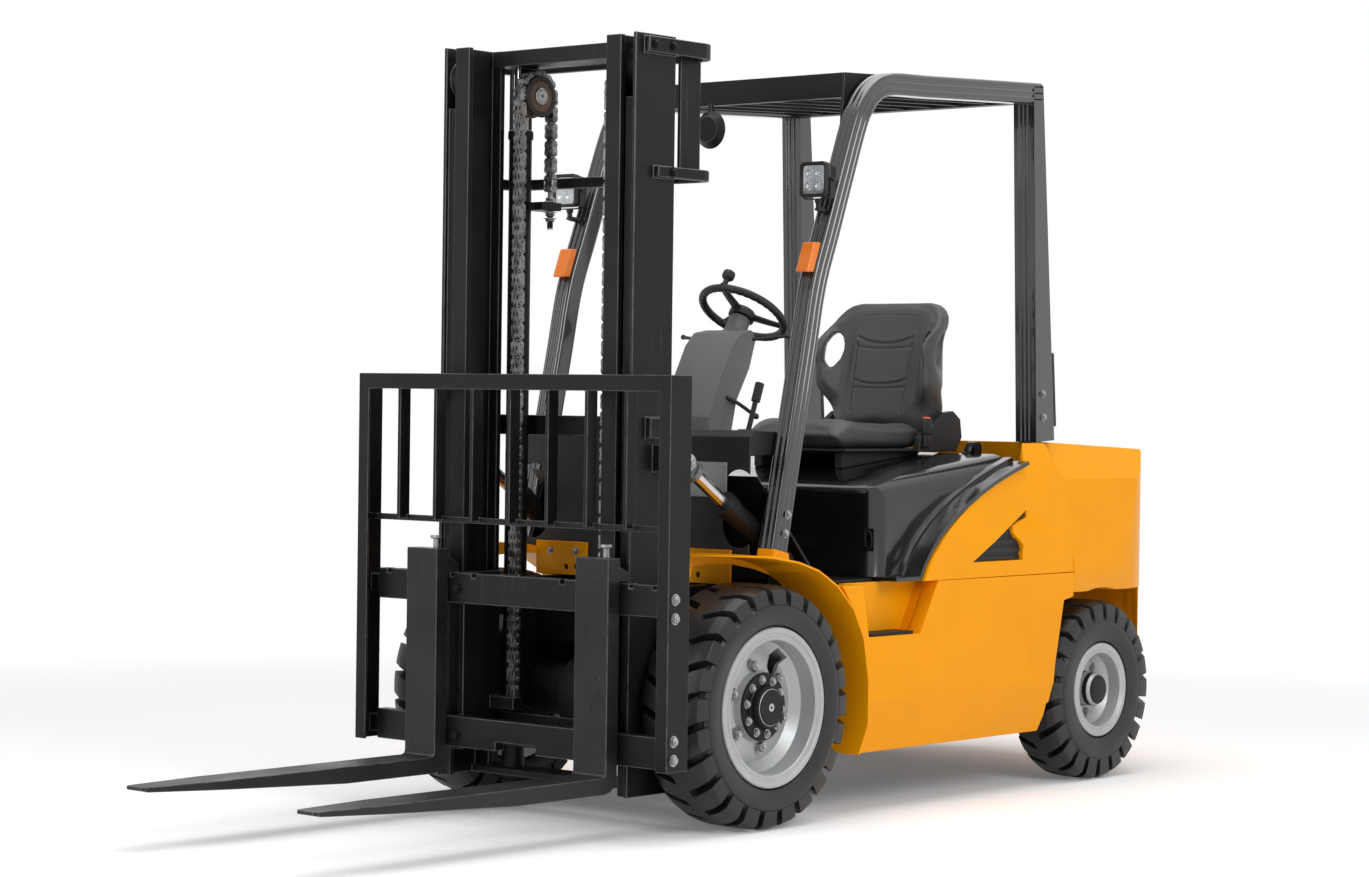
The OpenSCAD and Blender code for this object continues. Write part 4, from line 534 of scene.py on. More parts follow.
def tyre(end, word, side, axle, radius, half, seat, flange, bead, lugs):
    """Half section from the bead to the tread's middle: (across, radius) of the lug and of the groove.
    Point = axle + across * Y + (groove + rise * (lug - groove)) around the axle."""
    wall = radius - flange
    lug = np.array([
        [bead, seat + 0.0003], [bead, flange + 0.003], [half * 0.92, flange + 0.06 * wall],
        [half * 0.975, flange + 0.22 * wall], [half, flange + 0.42 * wall], [half * 0.995, flange + 0.50 * wall],
        [half * 0.985, flange + 0.52 * wall], [half * 0.965, flange + 0.53 * wall],
        [half * 0.985, flange + 0.55 * wall], [half * 0.965, flange + 0.72 * wall], [half * 0.93, radius - 0.016],
        [half * 0.915, radius - 0.013], [half * 0.70, radius - 0.003], [half * 0.66, radius - 0.002],
        [half * 0.42, radius - 0.0006], [half * 0.20, radius], [half * 0.16, radius], [half * 0.08, radius]])
    floor = radius - LUG_DEPTH * wall
    groove = lug.copy()
    groove[FIRST_LUG_ROW:] = [
        [half * 0.95, flange + 0.54 * wall], [half * 0.88, flange + 0.62 * wall], [half * 0.82, floor - 0.010],
        [half * 0.80, floor - 0.008], [half * 0.68, floor - 0.003], [half * 0.64, floor - 0.002],
        [half * 0.42, floor], [half * 0.22, floor], [half * 0.16, radius], [half * 0.08, radius]]
    lug, groove = (np.vstack([half_rows, half_rows[::-1] * [[-1, 1]]]) for half_rows in (lug, groove))
    slant = LUG_SLANT * np.abs(lug[:, 0]) / half + np.where(lug[:, 0] < 0, 0.5, 0.0)
    turn = (np.arange(lugs)[:, None] + LUG_STEPS[None, :]).reshape(1, -1) + slant[:, None]
    angle = 2 * math.pi * turn / lugs
    rise = np.tile(LUG_RISE, lugs)[None, :]
    across = groove[:, :1] + rise * (lug - groove)[:, :1]
    reach = groove[:, 1:] + rise * (lug - groove)[:, 1:]
    around, up = reach * np.cos(angle), reach * np.sin(angle)
    points = np.stack([axle[0] + around, side * (axle[1] + across), axle[2] + up], -1)
    faces = quads(len(lug), points.shape[1], close_rows=True, close_columns=True)
    if side > 0:
        faces = faces[:, ::-1]
    made = piece(f"{end}_tread_{word}", points, faces, "tyre_rubber", f"{end}_wheel_{word}", sharp=28,
                 stands_for=f"{end}_tyre_{word}", weld=False)
    worn = made.modifiers.new("worn", "BEVEL")
    worn.width, worn.segments, worn.limit_method, worn.angle_limit = TYRE_ROUND, 1, "ANGLE", TYRE_ANGLE
    worn.harden_normals = True
    print(made.name, "faces", len(faces))


for side, word in SIDES:
    tyre("front", word, side, FRONT_AXLE, **FRONT_TYRE)
    tyre("rear", word, side, REAR_AXLE, **REAR_TYRE)

# %% [markdown]
# Sheet steel and castings never have razor edges: light catches a small round on each. A merged copy
# of a CAD solid with a Bevel modifier stands for it and keeps its shape and place. On the black working
# gear the rounds are also painted a lighter grey, a painted highlight along the edges.

# %% Rounded copies of the solids
SHARP_FROM, ROUND_STEPS = 30, 2
LAMP_BACK, EYE_REACH = -0.6, 0.075


def rounded(node, width, edge=None):
    """A merged copy of a CAD node with its sharp edges rounded by width metres. A named edge finish goes
    onto the rounds alone, as a painted highlight where light would catch the edges."""
    source = frame["nodes"][node]
    mesh = source.data.copy()
    mesh.name = node + "_rounded"
    merged(mesh, flatten=True)
    shaded(mesh, SHARP_FROM)
    copy = put(node + "_rounded", mesh)
    bevel = copy.modifiers.new("edges", "BEVEL")
    bevel.width, bevel.segments = width, ROUND_STEPS
    bevel.limit_method, bevel.angle_limit = "ANGLE", math.radians(SHARP_FROM)
    bevel.use_clamp_overlap = False
    bevel.harden_normals = True
    if edge:
        mesh.materials.append(FINISHES[edge])
        bevel.material = 1
    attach(copy, source["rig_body"])
    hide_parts(node)
    return copy


def repaint(copy, material, chosen):
    """Gives a second finish to the faces that chosen(middles, normals) picks from two whole arrays."""
    mesh = copy.data
    middles, normals = np.empty(len(mesh.polygons) * 3), np.empty(len(mesh.polygons) * 3)
    mesh.polygons.foreach_get("center", middles)
    mesh.polygons.foreach_get("normal", normals)
    mesh.materials.append(FINISHES[material])
    picked = chosen(middles.reshape(-1, 3), normals.reshape(-1, 3)).astype(np.int32)
    mesh.polygons.foreach_set("material_index", picked * (len(mesh.materials) - 1))


EDGE_ROUNDS = {
    "mast_outer": 0.003, "mast_inner": 0.002, "carriage": 0.003, "load_backrest": 0.002, "forks": 0.0025,
    "guard_roof": 0.001, "body_sides": 0.002, "fenders": 0.0015, "counterweight": 0.003,
    "cowl": 0.003, "steering_column": 0.006, "seat_base": 0.004, "turn_lamps": 0.005, "controls": 0.002,
    "rear_lamps": 0.005, "frame": 0.002, "floor_plates": 0.0015, "hood": 0.0005, "tilt_rods": 0.002,
}
TILT_EYE = at(0.192, 0, 1.053)
# Black parts whose rounds take the lighter edge finish, a painted highlight along their edges; the print below counts
# them.
HIGHLIT_EDGES = ("mast_outer", "mast_inner", "carriage", "load_backrest", "forks", "guard_roof")
copies = {node: rounded(node, width, "edge_highlight_paint" if node in HIGHLIT_EDGES else None)
          for node, width in EDGE_ROUNDS.items()}
copies["steering_column"].data.materials[0] = FINISHES["column_plastic"]
repaint(copies["rear_lamps"], "lamp_case", lambda middle, normal: normal[:, 0] > LAMP_BACK)
repaint(copies["tilt_rods"], "clevis_steel",
        lambda middle, normal: np.linalg.norm((middle - TILT_EYE)[:, [0, 2]], axis=1) < EYE_REACH)
print("rounded copies:", len(copies), "with worn edges:", len(HIGHLIT_EDGES))

# %% [markdown]
# Each wheel is a silver rim of two stepped rings around a dished disc, with a black hub in the middle.
# All of that is round about the axle, so each ring is one profile turned about it. The nuts are
# one small grid, laid out around a circle.

# %% Hubs, rim rings and wheel nuts
FIRST_NUT = 0.16


def wheel_dress(word, side, axle, body, hub, ring, nut_rows):
    """Hub and ring profiles are (radius, outward) turned about the axle. Nut rows are (count, circle
    radius, outward, nut radius, height) around it: angle k is the first one's + 2 pi k / count."""
    out = np.array([0, side, 0])
    centre = axle * [1, side, 1]
    piece(word + "_hub_cover", *turned(hub, centre, out), "black_paint", body, sharp=25)
    piece(word + "_rim_rings", *turned(ring, centre, out, 96), "wheel_silver", body, sharp=25)
    parts = []
    for count, reach, outward, radius, height in nut_rows:
        turn = 2 * math.pi * np.arange(count) / count + FIRST_NUT
        spots = centre + outward * out + reach * np.stack([np.sin(turn), 0 * turn, np.cos(turn)], -1)
        parts.append(nuts(spots, out, radius, height))
    piece(word + "_nuts", *joined(parts), "bolt_zinc", body, sharp=20, slot="wheel_silver")


FRONT_NUTS = [(10, 0.0795, 0.0666, 0.0095, 0.0085), (6, 0.1190, 0.0350, 0.0150, 0.0170)]
REAR_NUTS = [(8, 0.0760, 0.0140, 0.0100, 0.0100), (8, 0.0900, 0.0142, 0.0060, 0.0050)]
FRONT_HUB = [(0, 0.040), (0.0985, 0.040), (0.0988, 0.0612), (0.0965, 0.0648), (0.0925, 0.0668), (0.066, 0.0668),
             (0.0632, 0.069), (0.0605, 0.0862), (0.0585, 0.0895), (0.0525, 0.0918), (0.0505, 0.0946), (0.048, 0.0952),
             (0.047, 0.0944), (0.012, 0.0944), (0.011, 0.0936), (0.0045, 0.0936), (0.004, 0.0946), (0, 0.0946)]
FRONT_RING = [(0.1895, 0.052), (0.1935, 0.0995), (0.196, 0.1022), (0.200, 0.1030), (0.2035, 0.1018), (0.2058, 0.0975),
              (0.2080, 0.0965), (0.2105, 0.0982), (0.2130, 0.1036), (0.2165, 0.1056), (0.2245, 0.1060),
              (0.2290, 0.1044), (0.2308, 0.1010), (0.2306, 0.0952), (0.2250, 0.0948),
              (0.1950, 0.0948), (0.1900, 0.052)]
REAR_HUB = [(0, 0.0142), (0.0580, 0.0142), (0.0575, 0.0200), (0.0550, 0.0220), (0.0547, 0.0560), (0.0535, 0.0600),
            (0.0500, 0.0612), (0.0488, 0.0625), (0.0480, 0.0690), (0.0462, 0.0724), (0.0430, 0.0732), (0, 0.0732)]
REAR_RING = [(0.1170, 0.038), (0.1212, 0.0758), (0.1235, 0.0782), (0.1265, 0.0788), (0.1290, 0.0770),
             (0.1310, 0.0762), (0.1335, 0.0785), (0.1365, 0.0806), (0.1470, 0.0812), (0.1520, 0.0800),
             (0.1538, 0.0770), (0.1536, 0.0712), (0.1480, 0.0708), (0.1220, 0.0708), (0.1176, 0.038)]
for side, word in SIDES:
    wheel_dress("front_" + word, side, FRONT_AXLE, "front_wheel_" + word, FRONT_HUB, FRONT_RING, FRONT_NUTS)
    wheel_dress("rear_" + word, side, REAR_AXLE, "rear_wheel_" + word, REAR_HUB, REAR_RING, REAR_NUTS)
print("wheels dressed: 4 hubs, 4 pairs of rings, 64 nuts")

# %% [markdown]
# The lift chains are leaf chains: rows of thin plates, shaped like a figure of eight, that are laced
# onto pins. One link is worked out flat and then carried to every place along the chain's path:
# straight up from the carriage, half way round the chain wheel, and down to its anchor.

# %% Chain links
LINK_PITCH = 0.0254
PLATE_HALF, WAIST = 0.0115, 0.78
CHAIN_Y, CHAIN_X, WHEEL_Z, WHEEL_R = 0.180, 0.261, 2.126, 0.067
REAR_X, STRAND_TOP = CHAIN_X - 2 * WHEEL_R, WHEEL_Z - 0.006


def plate(offset, thick):
    """One plate of a link, as (along, across, out) points: two round ends joined by a narrower waist."""
    end = np.radians(np.linspace(-100, 100, 6))
    lobe = np.stack([LINK_PITCH / 2 + PLATE_HALF * np.cos(end), PLATE_HALF * np.sin(end)], -1)
    outline = np.vstack([lobe, [[0, WAIST * PLATE_HALF]], -lobe, [[0, -WAIST * PLATE_HALF]]])
    low, high = offset - thick / 2, offset + thick / 2
    rows = [(0.02, low), (1, low), (1, high), (0.02, high)]
    points = np.array([[[a * k, across, o * k] for a, o in outline] for k, across in rows])
    return points, quads(4, len(outline), close_columns=True)


def chain_link(plates):
    """A link's plates, and the pin at its far end with a bright riveted head on both sides."""
    pin = turned([(0, -0.019), (0.004, -0.019), (0.0052, -0.0178), (0.0052, 0.0178), (0.004, 0.019), (0, 0.019)],
                 (LINK_PITCH / 2, 0, 0), (0, 1, 0), 8)
    return joined([plate(*p) for p in plates] + [pin])


# plates of a link: place across the chain, thickness
OUTER_LINK = chain_link([(across, 0.0034) for across in (-0.0150, -0.0112, -0.0020, 0.0020, 0.0112, 0.0150)])
INNER_LINK = chain_link([(-0.0074, 0.0034), (-0.0038, 0.0030), (0.0038, 0.0030), (0.0074, 0.0034)])


def chain(name, places, headings, body, stands_for=None):
    """Links carried to places (x, z) with headings (angle up from +X); odd and even links alternate."""
    parts = []
    for kind, first in ((OUTER_LINK, 0), (INNER_LINK, 1)):
        spots, turn = places[first::2], headings[first::2]
        shape, faces = kind
        along = np.stack([np.cos(turn), 0 * turn, np.sin(turn)], -1)
        out = np.stack([np.sin(turn), 0 * turn, -np.cos(turn)], -1)
        for side in (CHAIN_Y, -CHAIN_Y):
            middle = np.stack([spots[:, 0] + AXLE_X, 0 * turn + side, spots[:, 1]], -1)
            points = middle[:, None] + shape[None, :, :1] * along[:, None] + shape[None, :, 2:] * out[:, None]
            points[:, :, 1] += shape[None, :, 1]
            parts.append((points, copied(faces, len(spots), len(shape))))
    return piece(name, *joined(parts), "chain_steel", body, sharp=30, stands_for=stands_for, weld=False)


def straight(x, low, high):
    """Middles of the links of a straight strand, and their headings."""
    z = np.arange(low + LINK_PITCH / 2, high, LINK_PITCH)
    return np.stack([0 * z + x, z], -1), 0 * z + math.pi / 2


front_chain = chain("lift_chain_front", *straight(CHAIN_X, 0.347, STRAND_TOP), None, "chain_front")
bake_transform(front_chain)
around = np.linspace(0.02, math.pi - 0.02, 9)
over = np.stack([CHAIN_X - WHEEL_R + WHEEL_R * np.cos(around), WHEEL_Z + WHEEL_R * np.sin(around)], -1)
top_chain = chain("lift_chain_top", over, around + math.pi / 2, "mast_inner", "chain_rear")
rear_chain = chain("lift_chain_rear", *straight(REAR_X, 1.862, STRAND_TOP), None)
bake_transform(rear_chain)
print("chain faces:", [len(strand.data.polygons) for strand in (front_chain, top_chain, rear_chain)])

# %% [markdown]
# A chain wheel is a grooved roller with a rusty worn face around a bright bearing. At its lower end the
# rear strand hangs in a fork on a threaded rod, which three nuts hold in the bracket of the lift barrel.

# %% Chain wheels and chain anchors
# profiles of one half of a wheel, its flange and its bolt: radius, then distance from the wheel's middle
FACE = [(0, 0.0200), (0.026, 0.0200), (0.028, 0.0212), (0.0455, 0.0212), (0.0470, 0.0200), (0.0480, 0.0228),
        (0.0605, 0.0228), (0.0620, 0.0215), (0.0620, 0.0185), (0.0560, 0.0175)]
FLANGE = [(0.0475, 0.0205), (0.0482, 0.0236), (0.0606, 0.0236), (0.0626, 0.0218), (0.0626, 0.0190), (0.0612, 0.0190),
          (0.0475, 0.0205)]
BOLT = [(0, 0.0195), (0.0255, 0.0195), (0.0255, 0.0235), (0.0240, 0.0250), (0.0215, 0.0252), (0.0205, 0.0240),
        (0.0190, 0.0240), (0.0180, 0.0262), (0.0155, 0.0270), (0.0060, 0.0270), (0.0052, 0.0262),
        (0.0050, 0.0225), (0, 0.0225)]
THREAD = np.arange(0, 0.115, 0.0022)
ROD = [(0, 0)] + [(0.0088 - 0.0009 * (k % 2), z) for k, z in enumerate(THREAD)] + [(0, THREAD[-1])]
# an anchor's nuts: height on the rod, which way up, height of the nut
ANCHOR_NUTS = [(0.082, 1, 0.013), (0.052, -1, 0.013), (0.034, -1, 0.011)]
# the boxes of its fork: low corner, high corner, edge round
ANCHOR_FORK = [((-0.012, -0.017, 0.112), (0.012, 0.017, 0.128), 0.004),
               ((-0.011, -0.019, 0.120), (0.011, -0.012, 0.146), 0.003),
               ((-0.011, 0.012, 0.120), (0.011, 0.019, 0.146), 0.003)]

for side, word in SIDES:
    middle = at(CHAIN_X - WHEEL_R, side * CHAIN_Y, WHEEL_Z)
    both_faces = FACE + [(r, -w) for r, w in FACE[::-1]]
    piece("chain_wheel_" + word, *turned(both_faces, middle, (0, 1, 0)), "wheel_wear", "mast_inner", sharp=25,
          slot="chain_steel", stands_for="chain_wheels")
    for name, profile, material, turns in (("chain_wheel_flanges_", FLANGE, "lamp_case", 48),
                                           ("chain_wheel_bolt_", BOLT, "bolt_zinc", 32)):
        ends = both_sides(lambda s: turned([(r, s * w) for r, w in profile], middle, (0, 1, 0), turns))
        piece(name + word, *ends, material, "mast_inner", sharp=25, slot="chain_steel")
    rod_foot = at(REAR_X, side * CHAIN_Y, 1.735)
    stem = [turned(ROD, rod_foot, (0, 0, 1), 16)]
    stem += [nuts(rod_foot + [[0, 0, z]], (0, 0, way), 0.0145, tall) for z, way, tall in ANCHOR_NUTS]
    stem += [rounded_box(rod_foot + low, rod_foot + high, radius) for low, high, radius in ANCHOR_FORK]
    piece("chain_anchor_" + word, *joined(stem), "bolt_zinc", "mast_outer", sharp=30, slot="wheel_silver")
print("chain wheels and anchors: 2 each")

# %% [markdown]
# The overhead guard's front pillar is one drawn steel tube that leans back, bends and runs on as the
# roof rail. Its section is a rounded square with two drawn grooves in its front and in its outer face.
# A profile carried along a smooth path gives it; the rear post is the same idea with a tapering depth.

# %% Guard tubes and posts
TUBE_Y, TUBE_HALF_Y, TUBE_HALF_N = 0.489, 0.031, 0.034
PILLAR = np.array([[-0.129, 0.795], [-0.1695, 0.9875], [-0.210, 1.180], [-0.2535, 1.378], [-0.297, 1.576],
                   [-0.359, 1.739], [-0.421, 1.902], [-0.477, 2.045], [-0.510, 2.110], [-0.560, 2.165],
                   [-0.640, 2.196], [-0.840, 2.2057], [-1.040, 2.2153], [-1.240, 2.2247], [-1.440, 2.234]])
GROOVE, GROOVE_W, FACE_BAND = 0.0035, 0.0042, 0.001
TUBE_GROOVES, POST_GROOVES = [-0.010, 0.010], [-0.016, 0.0, 0.016]
POST_LOW, POST_TOP = np.array([-1.484, 1.1123]), np.array([-1.417, 2.258])
POST_Y, POST_HALF_Y, POST_ROWS = 0.480, 0.040, 12
POST_DEEP, POST_SLIM = 0.052, 0.027


def rounded_square(half_a, half_b, radius, steps=24):
    """Outline of a rounded rectangle: each side a line of points, each corner a quarter circle."""
    centres = np.array([(1, 1), (-1, 1), (-1, -1), (1, -1)]) * [half_a - radius, half_b - radius]
    quarter = np.radians(np.linspace(0, 90, 7))
    rows = []
    for k, centre in enumerate(centres):
        t = quarter + k * math.pi / 2
        arc = radius * np.stack([np.cos(t), np.sin(t)], -1)
        rows.append(centre + arc)
        way = centres[(k + 1) % 4] - centre
        rows.append(centre + arc[-1] + np.linspace(0, 1, steps + 1)[1:-1, None] * way)
    return np.vstack(rows)


def dip(t, places):
    """A groove's depth at t: a steep-sided dip, exp(-((t - place) / width) ** 4), at each place."""
    return GROOVE * np.exp(-((t[:, None] - np.asarray(places)[None, :]) / GROOVE_W) ** 4).sum(1)


def carried(path, outline, side, middle_y):
    """Outline (across the path, along Y) carried along a path in the XZ plane, with closed ends."""
    ahead = unit(np.gradient(path, axis=0))
    left = np.stack([-ahead[:, 1], ahead[:, 0]], -1)
    outline = np.broadcast_to(outline, (len(path),) + outline.shape[-2:])
    flat = path[:, None] + outline[:, :, :1] * left[:, None]
    return stacked(np.stack([flat[..., 0] + AXLE_X, side * (middle_y + outline[..., 1]), flat[..., 1]], -1))


section = rounded_square(TUBE_HALF_N, TUBE_HALF_Y, 0.012)
outer = ramp(section[:, 1], TUBE_HALF_Y - FACE_BAND, TUBE_HALF_Y)
front = ramp(-section[:, 0], TUBE_HALF_N - FACE_BAND, TUBE_HALF_N)
section[:, 1] -= outer * dip(section[:, 0], TUBE_GROOVES)
section[:, 0] += front * dip(section[:, 1], TUBE_GROOVES)

climb = np.linspace(0, 1, POST_ROWS)[:, None]
post_path = POST_LOW + climb * (POST_TOP - POST_LOW)
depth = POST_DEEP + (POST_SLIM - POST_DEEP) * climb
post_flat = rounded_square(1.0, POST_HALF_Y, 0.006)
post_front = ramp(-post_flat[:, 0], 0.97, 0.99)
post_shape = np.stack([post_flat[:, 0] * depth, post_flat[:, 1] + 0 * depth], -1)
post_shape[:, :, 0] += (post_front * dip(post_flat[:, 1], POST_GROOVES))[None]
for side, word in SIDES:
    frame_piece = joined([carried(through(PILLAR, 6), section, side, TUBE_Y),
                          carried(post_path, post_shape, side, POST_Y)])
    piece("guard_tubes_" + word, *frame_piece, "guard_paint", "chassis", sharp=40, stands_for="guard_frame",
          slot="black_paint")
print("guard tubes:", len(section), "points in the section")

# %% [markdown]
# The work lamps are square cast cases with cooling ribs, a thick bezel and a clear lens over four
# bright cups. The case is a stack of rounded squares, and the lens a grid whose depth dips at each cup.

# %% Work lamps
LAMP = at(-0.275, 0.500, 1.886)
STRAP_X = LAMP[0] - 0.030
LENS_STEPS, CUP_WIDTH, BULB_WIDTH = 41, 0.0085, 0.0032
# half of the strap around the case, from its top end to its middle: across, height
STRAP = np.array([(-0.0515, 1.892), (-0.0515, 1.846), (-0.0470, 1.8325), (-0.030, 1.8300)])
STRAP_SECTION = np.array([[-0.011, -0.0015], [0.011, -0.0015], [0.011, 0.0015], [-0.011, 0.0015]])
KNUCKLE = [(0, 0), (0.011, 0), (0.011, 0.006), (0.008, 0.008), (0.008, 0.0215), (0.011, 0.0235),
           (0.011, 0.034), (0, 0.034)]
CASE_ROWS = [(-0.066, 0.0), (-0.066, 0.030), (-0.060, 0.036), (-0.058, 0.043), (-0.054, 0.043), (-0.0535, 0.037),
             (-0.050, 0.037), (-0.0495, 0.044), (-0.045, 0.044), (-0.0445, 0.038), (-0.041, 0.038), (-0.0405, 0.045),
             (-0.036, 0.045), (-0.0355, 0.039), (-0.032, 0.039), (-0.0315, 0.046), (-0.026, 0.048), (-0.006, 0.050),
             (-0.001, 0.049), (0.0, 0.046), (-0.001, 0.042), (-0.006, 0.0405), (-0.010, 0.040), (-0.010, 0.0)]


def lamp_case(side):
    """Rounded squares of growing half size stacked from the ribbed back to the bezel."""
    rows = []
    for depth, half in CASE_ROWS:
        half = max(half, 1e-4)
        ring = rounded_square(half, half * 1.06, half * 0.30, 6)
        rows.append(np.column_stack([0 * ring[:, 0] + depth, ring]) + LAMP * [1, side, 1])
    rows = np.array(rows)
    return rows, quads(rows.shape[0], rows.shape[1], close_columns=True)


def lamp_lens(side):
    """A flat face less four cups, with a bulb in each: each is exp(-(distance / width) ** 4)."""
    even = np.linspace(-1, 1, LENS_STEPS)
    u, v = np.meshgrid(even, even, indexing="ij")
    a, b = 0.0395 * u * np.sqrt(1 - 0.10 * v ** 4), 0.0418 * v * np.sqrt(1 - 0.10 * u ** 4)
    off = [(a - ca) ** 2 + (b - cb) ** 2 for ca in (-0.0175, 0.0175) for cb in (-0.0185, 0.0185)]
    cups, bulbs = (sum(np.exp(-(square / width ** 2) ** 2) for square in off) for width in (CUP_WIDTH, BULB_WIDTH))
    depth = -0.0060 - 0.0035 * cups + 0.0030 * bulbs
    points = np.stack([LAMP[0] + depth, side * LAMP[1] + a, LAMP[2] + b], -1)
    return points, quads(LENS_STEPS, LENS_STEPS)


for side, word in SIDES:
    lamp_y = side * LAMP[1]
    strap_path = through(np.vstack([STRAP, STRAP[::-1] * [-1, 1]]) + [lamp_y, 0], 5)
    across = unit(np.gradient(strap_path, axis=0))
    normal = np.stack([-across[:, 1], across[:, 0]], -1)
    wide, thick = STRAP_SECTION.T
    strap = np.stack([np.broadcast_to(STRAP_X + wide, (len(strap_path), 4)),
                      strap_path[:, :1] + normal[:, :1] * thick, strap_path[:, 1:] + normal[:, 1:] * thick], -1)
    foot_path = [at(-0.305, side * 0.500, 1.800), at(-0.320, side * 0.500, 1.7985), at(-0.345, side * 0.495, 1.795)]
    bracket = joined([(strap, quads(len(strap_path), 4, close_columns=True)),
                      turned(KNUCKLE, (STRAP_X, lamp_y, 1.7955), (0, 0, 1), 20), tube(through(foot_path, 5), 0.008),
                      both_sides(lambda s: nuts([(STRAP_X, lamp_y + s * 0.053, LAMP[2])], (0, s, 0), 0.006, 0.005))])
    piece("work_lamp_case_" + word, *lamp_case(side), "lamp_case", "chassis", sharp=30, stands_for="work_lamps")
    piece("work_lamp_lens_" + word, *lamp_lens(side), "lamp_lens", "chassis", sharp=60, weld=False, slot="lamp_case")
    piece("work_lamp_bracket_" + word, *bracket, "lamp_case", "chassis", sharp=30)
print("work lamps: 2 cases, 2 lenses, 2 brackets")

# %% [markdown]
# The seat is black vinyl over foam: a crowned cushion with a rounded front, and a back with side wings
# that wrap forwards, two slanted openings at the shoulders and three sewn panels between them. Each pad
# starts as a closed stack of sections, a little too small. It is remeshed evenly, blown up by a cloth
# simulation under slight pressure, and only then creased along its seams, because the remesh would
# wipe out anything finer than its grid.

# %% Seat shapes
VOXEL, SWELL_LIMIT = 0.0055, 0.006
PRESSURE, CLOTH_FRAMES = 4, 20
RINGS, RING_STEPS = 60, 120


def squared(values, power):
    """Keeps the sign and raises the size to a power, which turns a circle's cos and sin into a superellipse's."""
    return np.sign(values) * np.abs(values) ** power


def smooth_line(z, points):
    """x at heights z along a smooth line through (x, z) points."""
    fine = through(points, 24)
    return np.interp(z, fine[:, 1], fine[:, 0])


def back_sections():
    """Rings at heights z: half width w(z), a front line f(z) with side wings, a rear line r(z).
    Around a ring, the corners are a superellipse |u|^n + |v|^n = 1."""
    z = np.linspace(1.122, 1.566, RINGS)
    half = np.interp(z, [1.119, 1.160, 1.215, 1.290, 1.481, 1.520, 1.545, 1.560, 1.571],
                     [0.176, 0.192, 0.206, 0.226, 0.226, 0.214, 0.196, 0.172, 0.120])
    front = smooth_line(z, [(-1.262, 1.10), (-1.258, 1.150), (-1.256, 1.190), (-1.277, 1.285), (-1.300, 1.380),
                            (-1.322, 1.470), (-1.337, 1.530), (-1.352, 1.560), (-1.372, 1.58)])
    rear = smooth_line(z, [(-1.378, 1.10), (-1.386, 1.200), (-1.394, 1.300), (-1.402, 1.420), (-1.404, 1.500),
                           (-1.400, 1.545), (-1.388, 1.58)])
    wing = 0.090 * np.exp(-(((z - 1.345) / 0.110) ** 4)) + 0.058 * np.exp(-(((z - 1.45) / 0.080) ** 2))
    t = full_turn(RING_STEPS)
    u, v = squared(np.cos(t), 0.4), squared(np.sin(t), 0.4)
    y = half[:, None] * v[None, :]
    edge = ramp(np.abs(v), 0.66, 0.96) ** 1.4
    x_front = front[:, None] + wing[:, None] * edge[None, :]
    x_rear = rear[:, None] + 0.55 * wing[:, None] * edge[None, :] ** 2
    x = (x_front + x_rear) / 2 + (x_front - x_rear) / 2 * u[None, :]
    return np.stack([x + AXLE_X, y, z[:, None] + 0 * y], -1)


def cushion_sections():
    """Rings from back to front: half width, underside and crowned top of each, as superellipses."""
    x = np.linspace(-1.262, -0.806, RINGS)
    along = np.linspace(0, 1, RINGS)
    round_front = np.sqrt(1 - ramp(along, 0.86, 1) ** 2.2)
    round_back = np.sqrt(np.maximum(1 - ramp(along, 0.05, 0) ** 2, 0.3))
    top = smooth_line(along, [(1.150, -0.02), (1.159, 0.08), (1.157, 0.35), (1.161, 0.62), (1.170, 0.84),
                              (1.158, 0.93), (1.136, 1.02)])
    low = 1.0875 + 0.024 * ramp(along, 0.90, 1) ** 2
    half = 0.200 * (0.96 + 0.04 * np.sin(math.pi * along)) * (0.90 + 0.10 * round_front)
    t = full_turn(RING_STEPS)
    u, v = squared(np.cos(t), 0.34), squared(np.sin(t), 0.42)
    y = half[:, None] * u[None, :]
    middle = (top + low) / 2
    reach = (top - low) / 2 * np.maximum(round_front, 0.35) * round_back
    dish = -0.010 * np.exp(-((u[None, :] / 0.55) ** 4)) * (v[None, :] > 0) * ramp(along[:, None], 0.82, 0.62)
    z = middle[:, None] + reach[:, None] * v[None, :] + dish
    return np.stack([x[:, None] + AXLE_X + 0 * y, y, z], -1)


def applied(made):
    """Bakes an object's modifiers into its mesh."""
    graph = bpy.context.evaluated_depsgraph_get()
    graph.update()
    mesh = bpy.data.meshes.new_from_object(made.evaluated_get(graph))
    made.modifiers.clear()
    made.data = mesh


def coordinates(mesh):
    """All points of a mesh as an array."""
    flat = np.empty(len(mesh.vertices) * 3, np.float32)
    mesh.vertices.foreach_get("co", flat)
    return flat.reshape(-1, 3).astype(float)


print("seat helpers ready, voxel", VOXEL)

# %% [markdown]
# The two shoulder openings are cut before the remesh with slanted oval plugs, so that the remesh rounds
# their edges as foam would.

# %% Seat pads
def oval_plug(side):
    """An oval cylinder through a wing. Its axis points forwards and inwards, and its long half axis leans in
    at the top."""
    t = full_turn(40)
    turn, lean = math.radians(36), math.radians(14)
    axis = np.array([math.cos(turn), -side * math.sin(turn), 0])
    inward = np.array([-math.sin(turn), -side * math.cos(turn), 0])
    a, b = 0.030 * np.cos(t), 0.062 * np.sin(t)
    level, upright = a * math.cos(lean) + b * math.sin(lean), b * math.cos(lean) - a * math.sin(lean)
    ring = at(-1.2665, side * 0.180, 1.407) + level[:, None] * inward + upright[:, None] * np.array([0, 0, 1])
    return stacked([ring - 0.16 * axis, ring + 0.16 * axis])


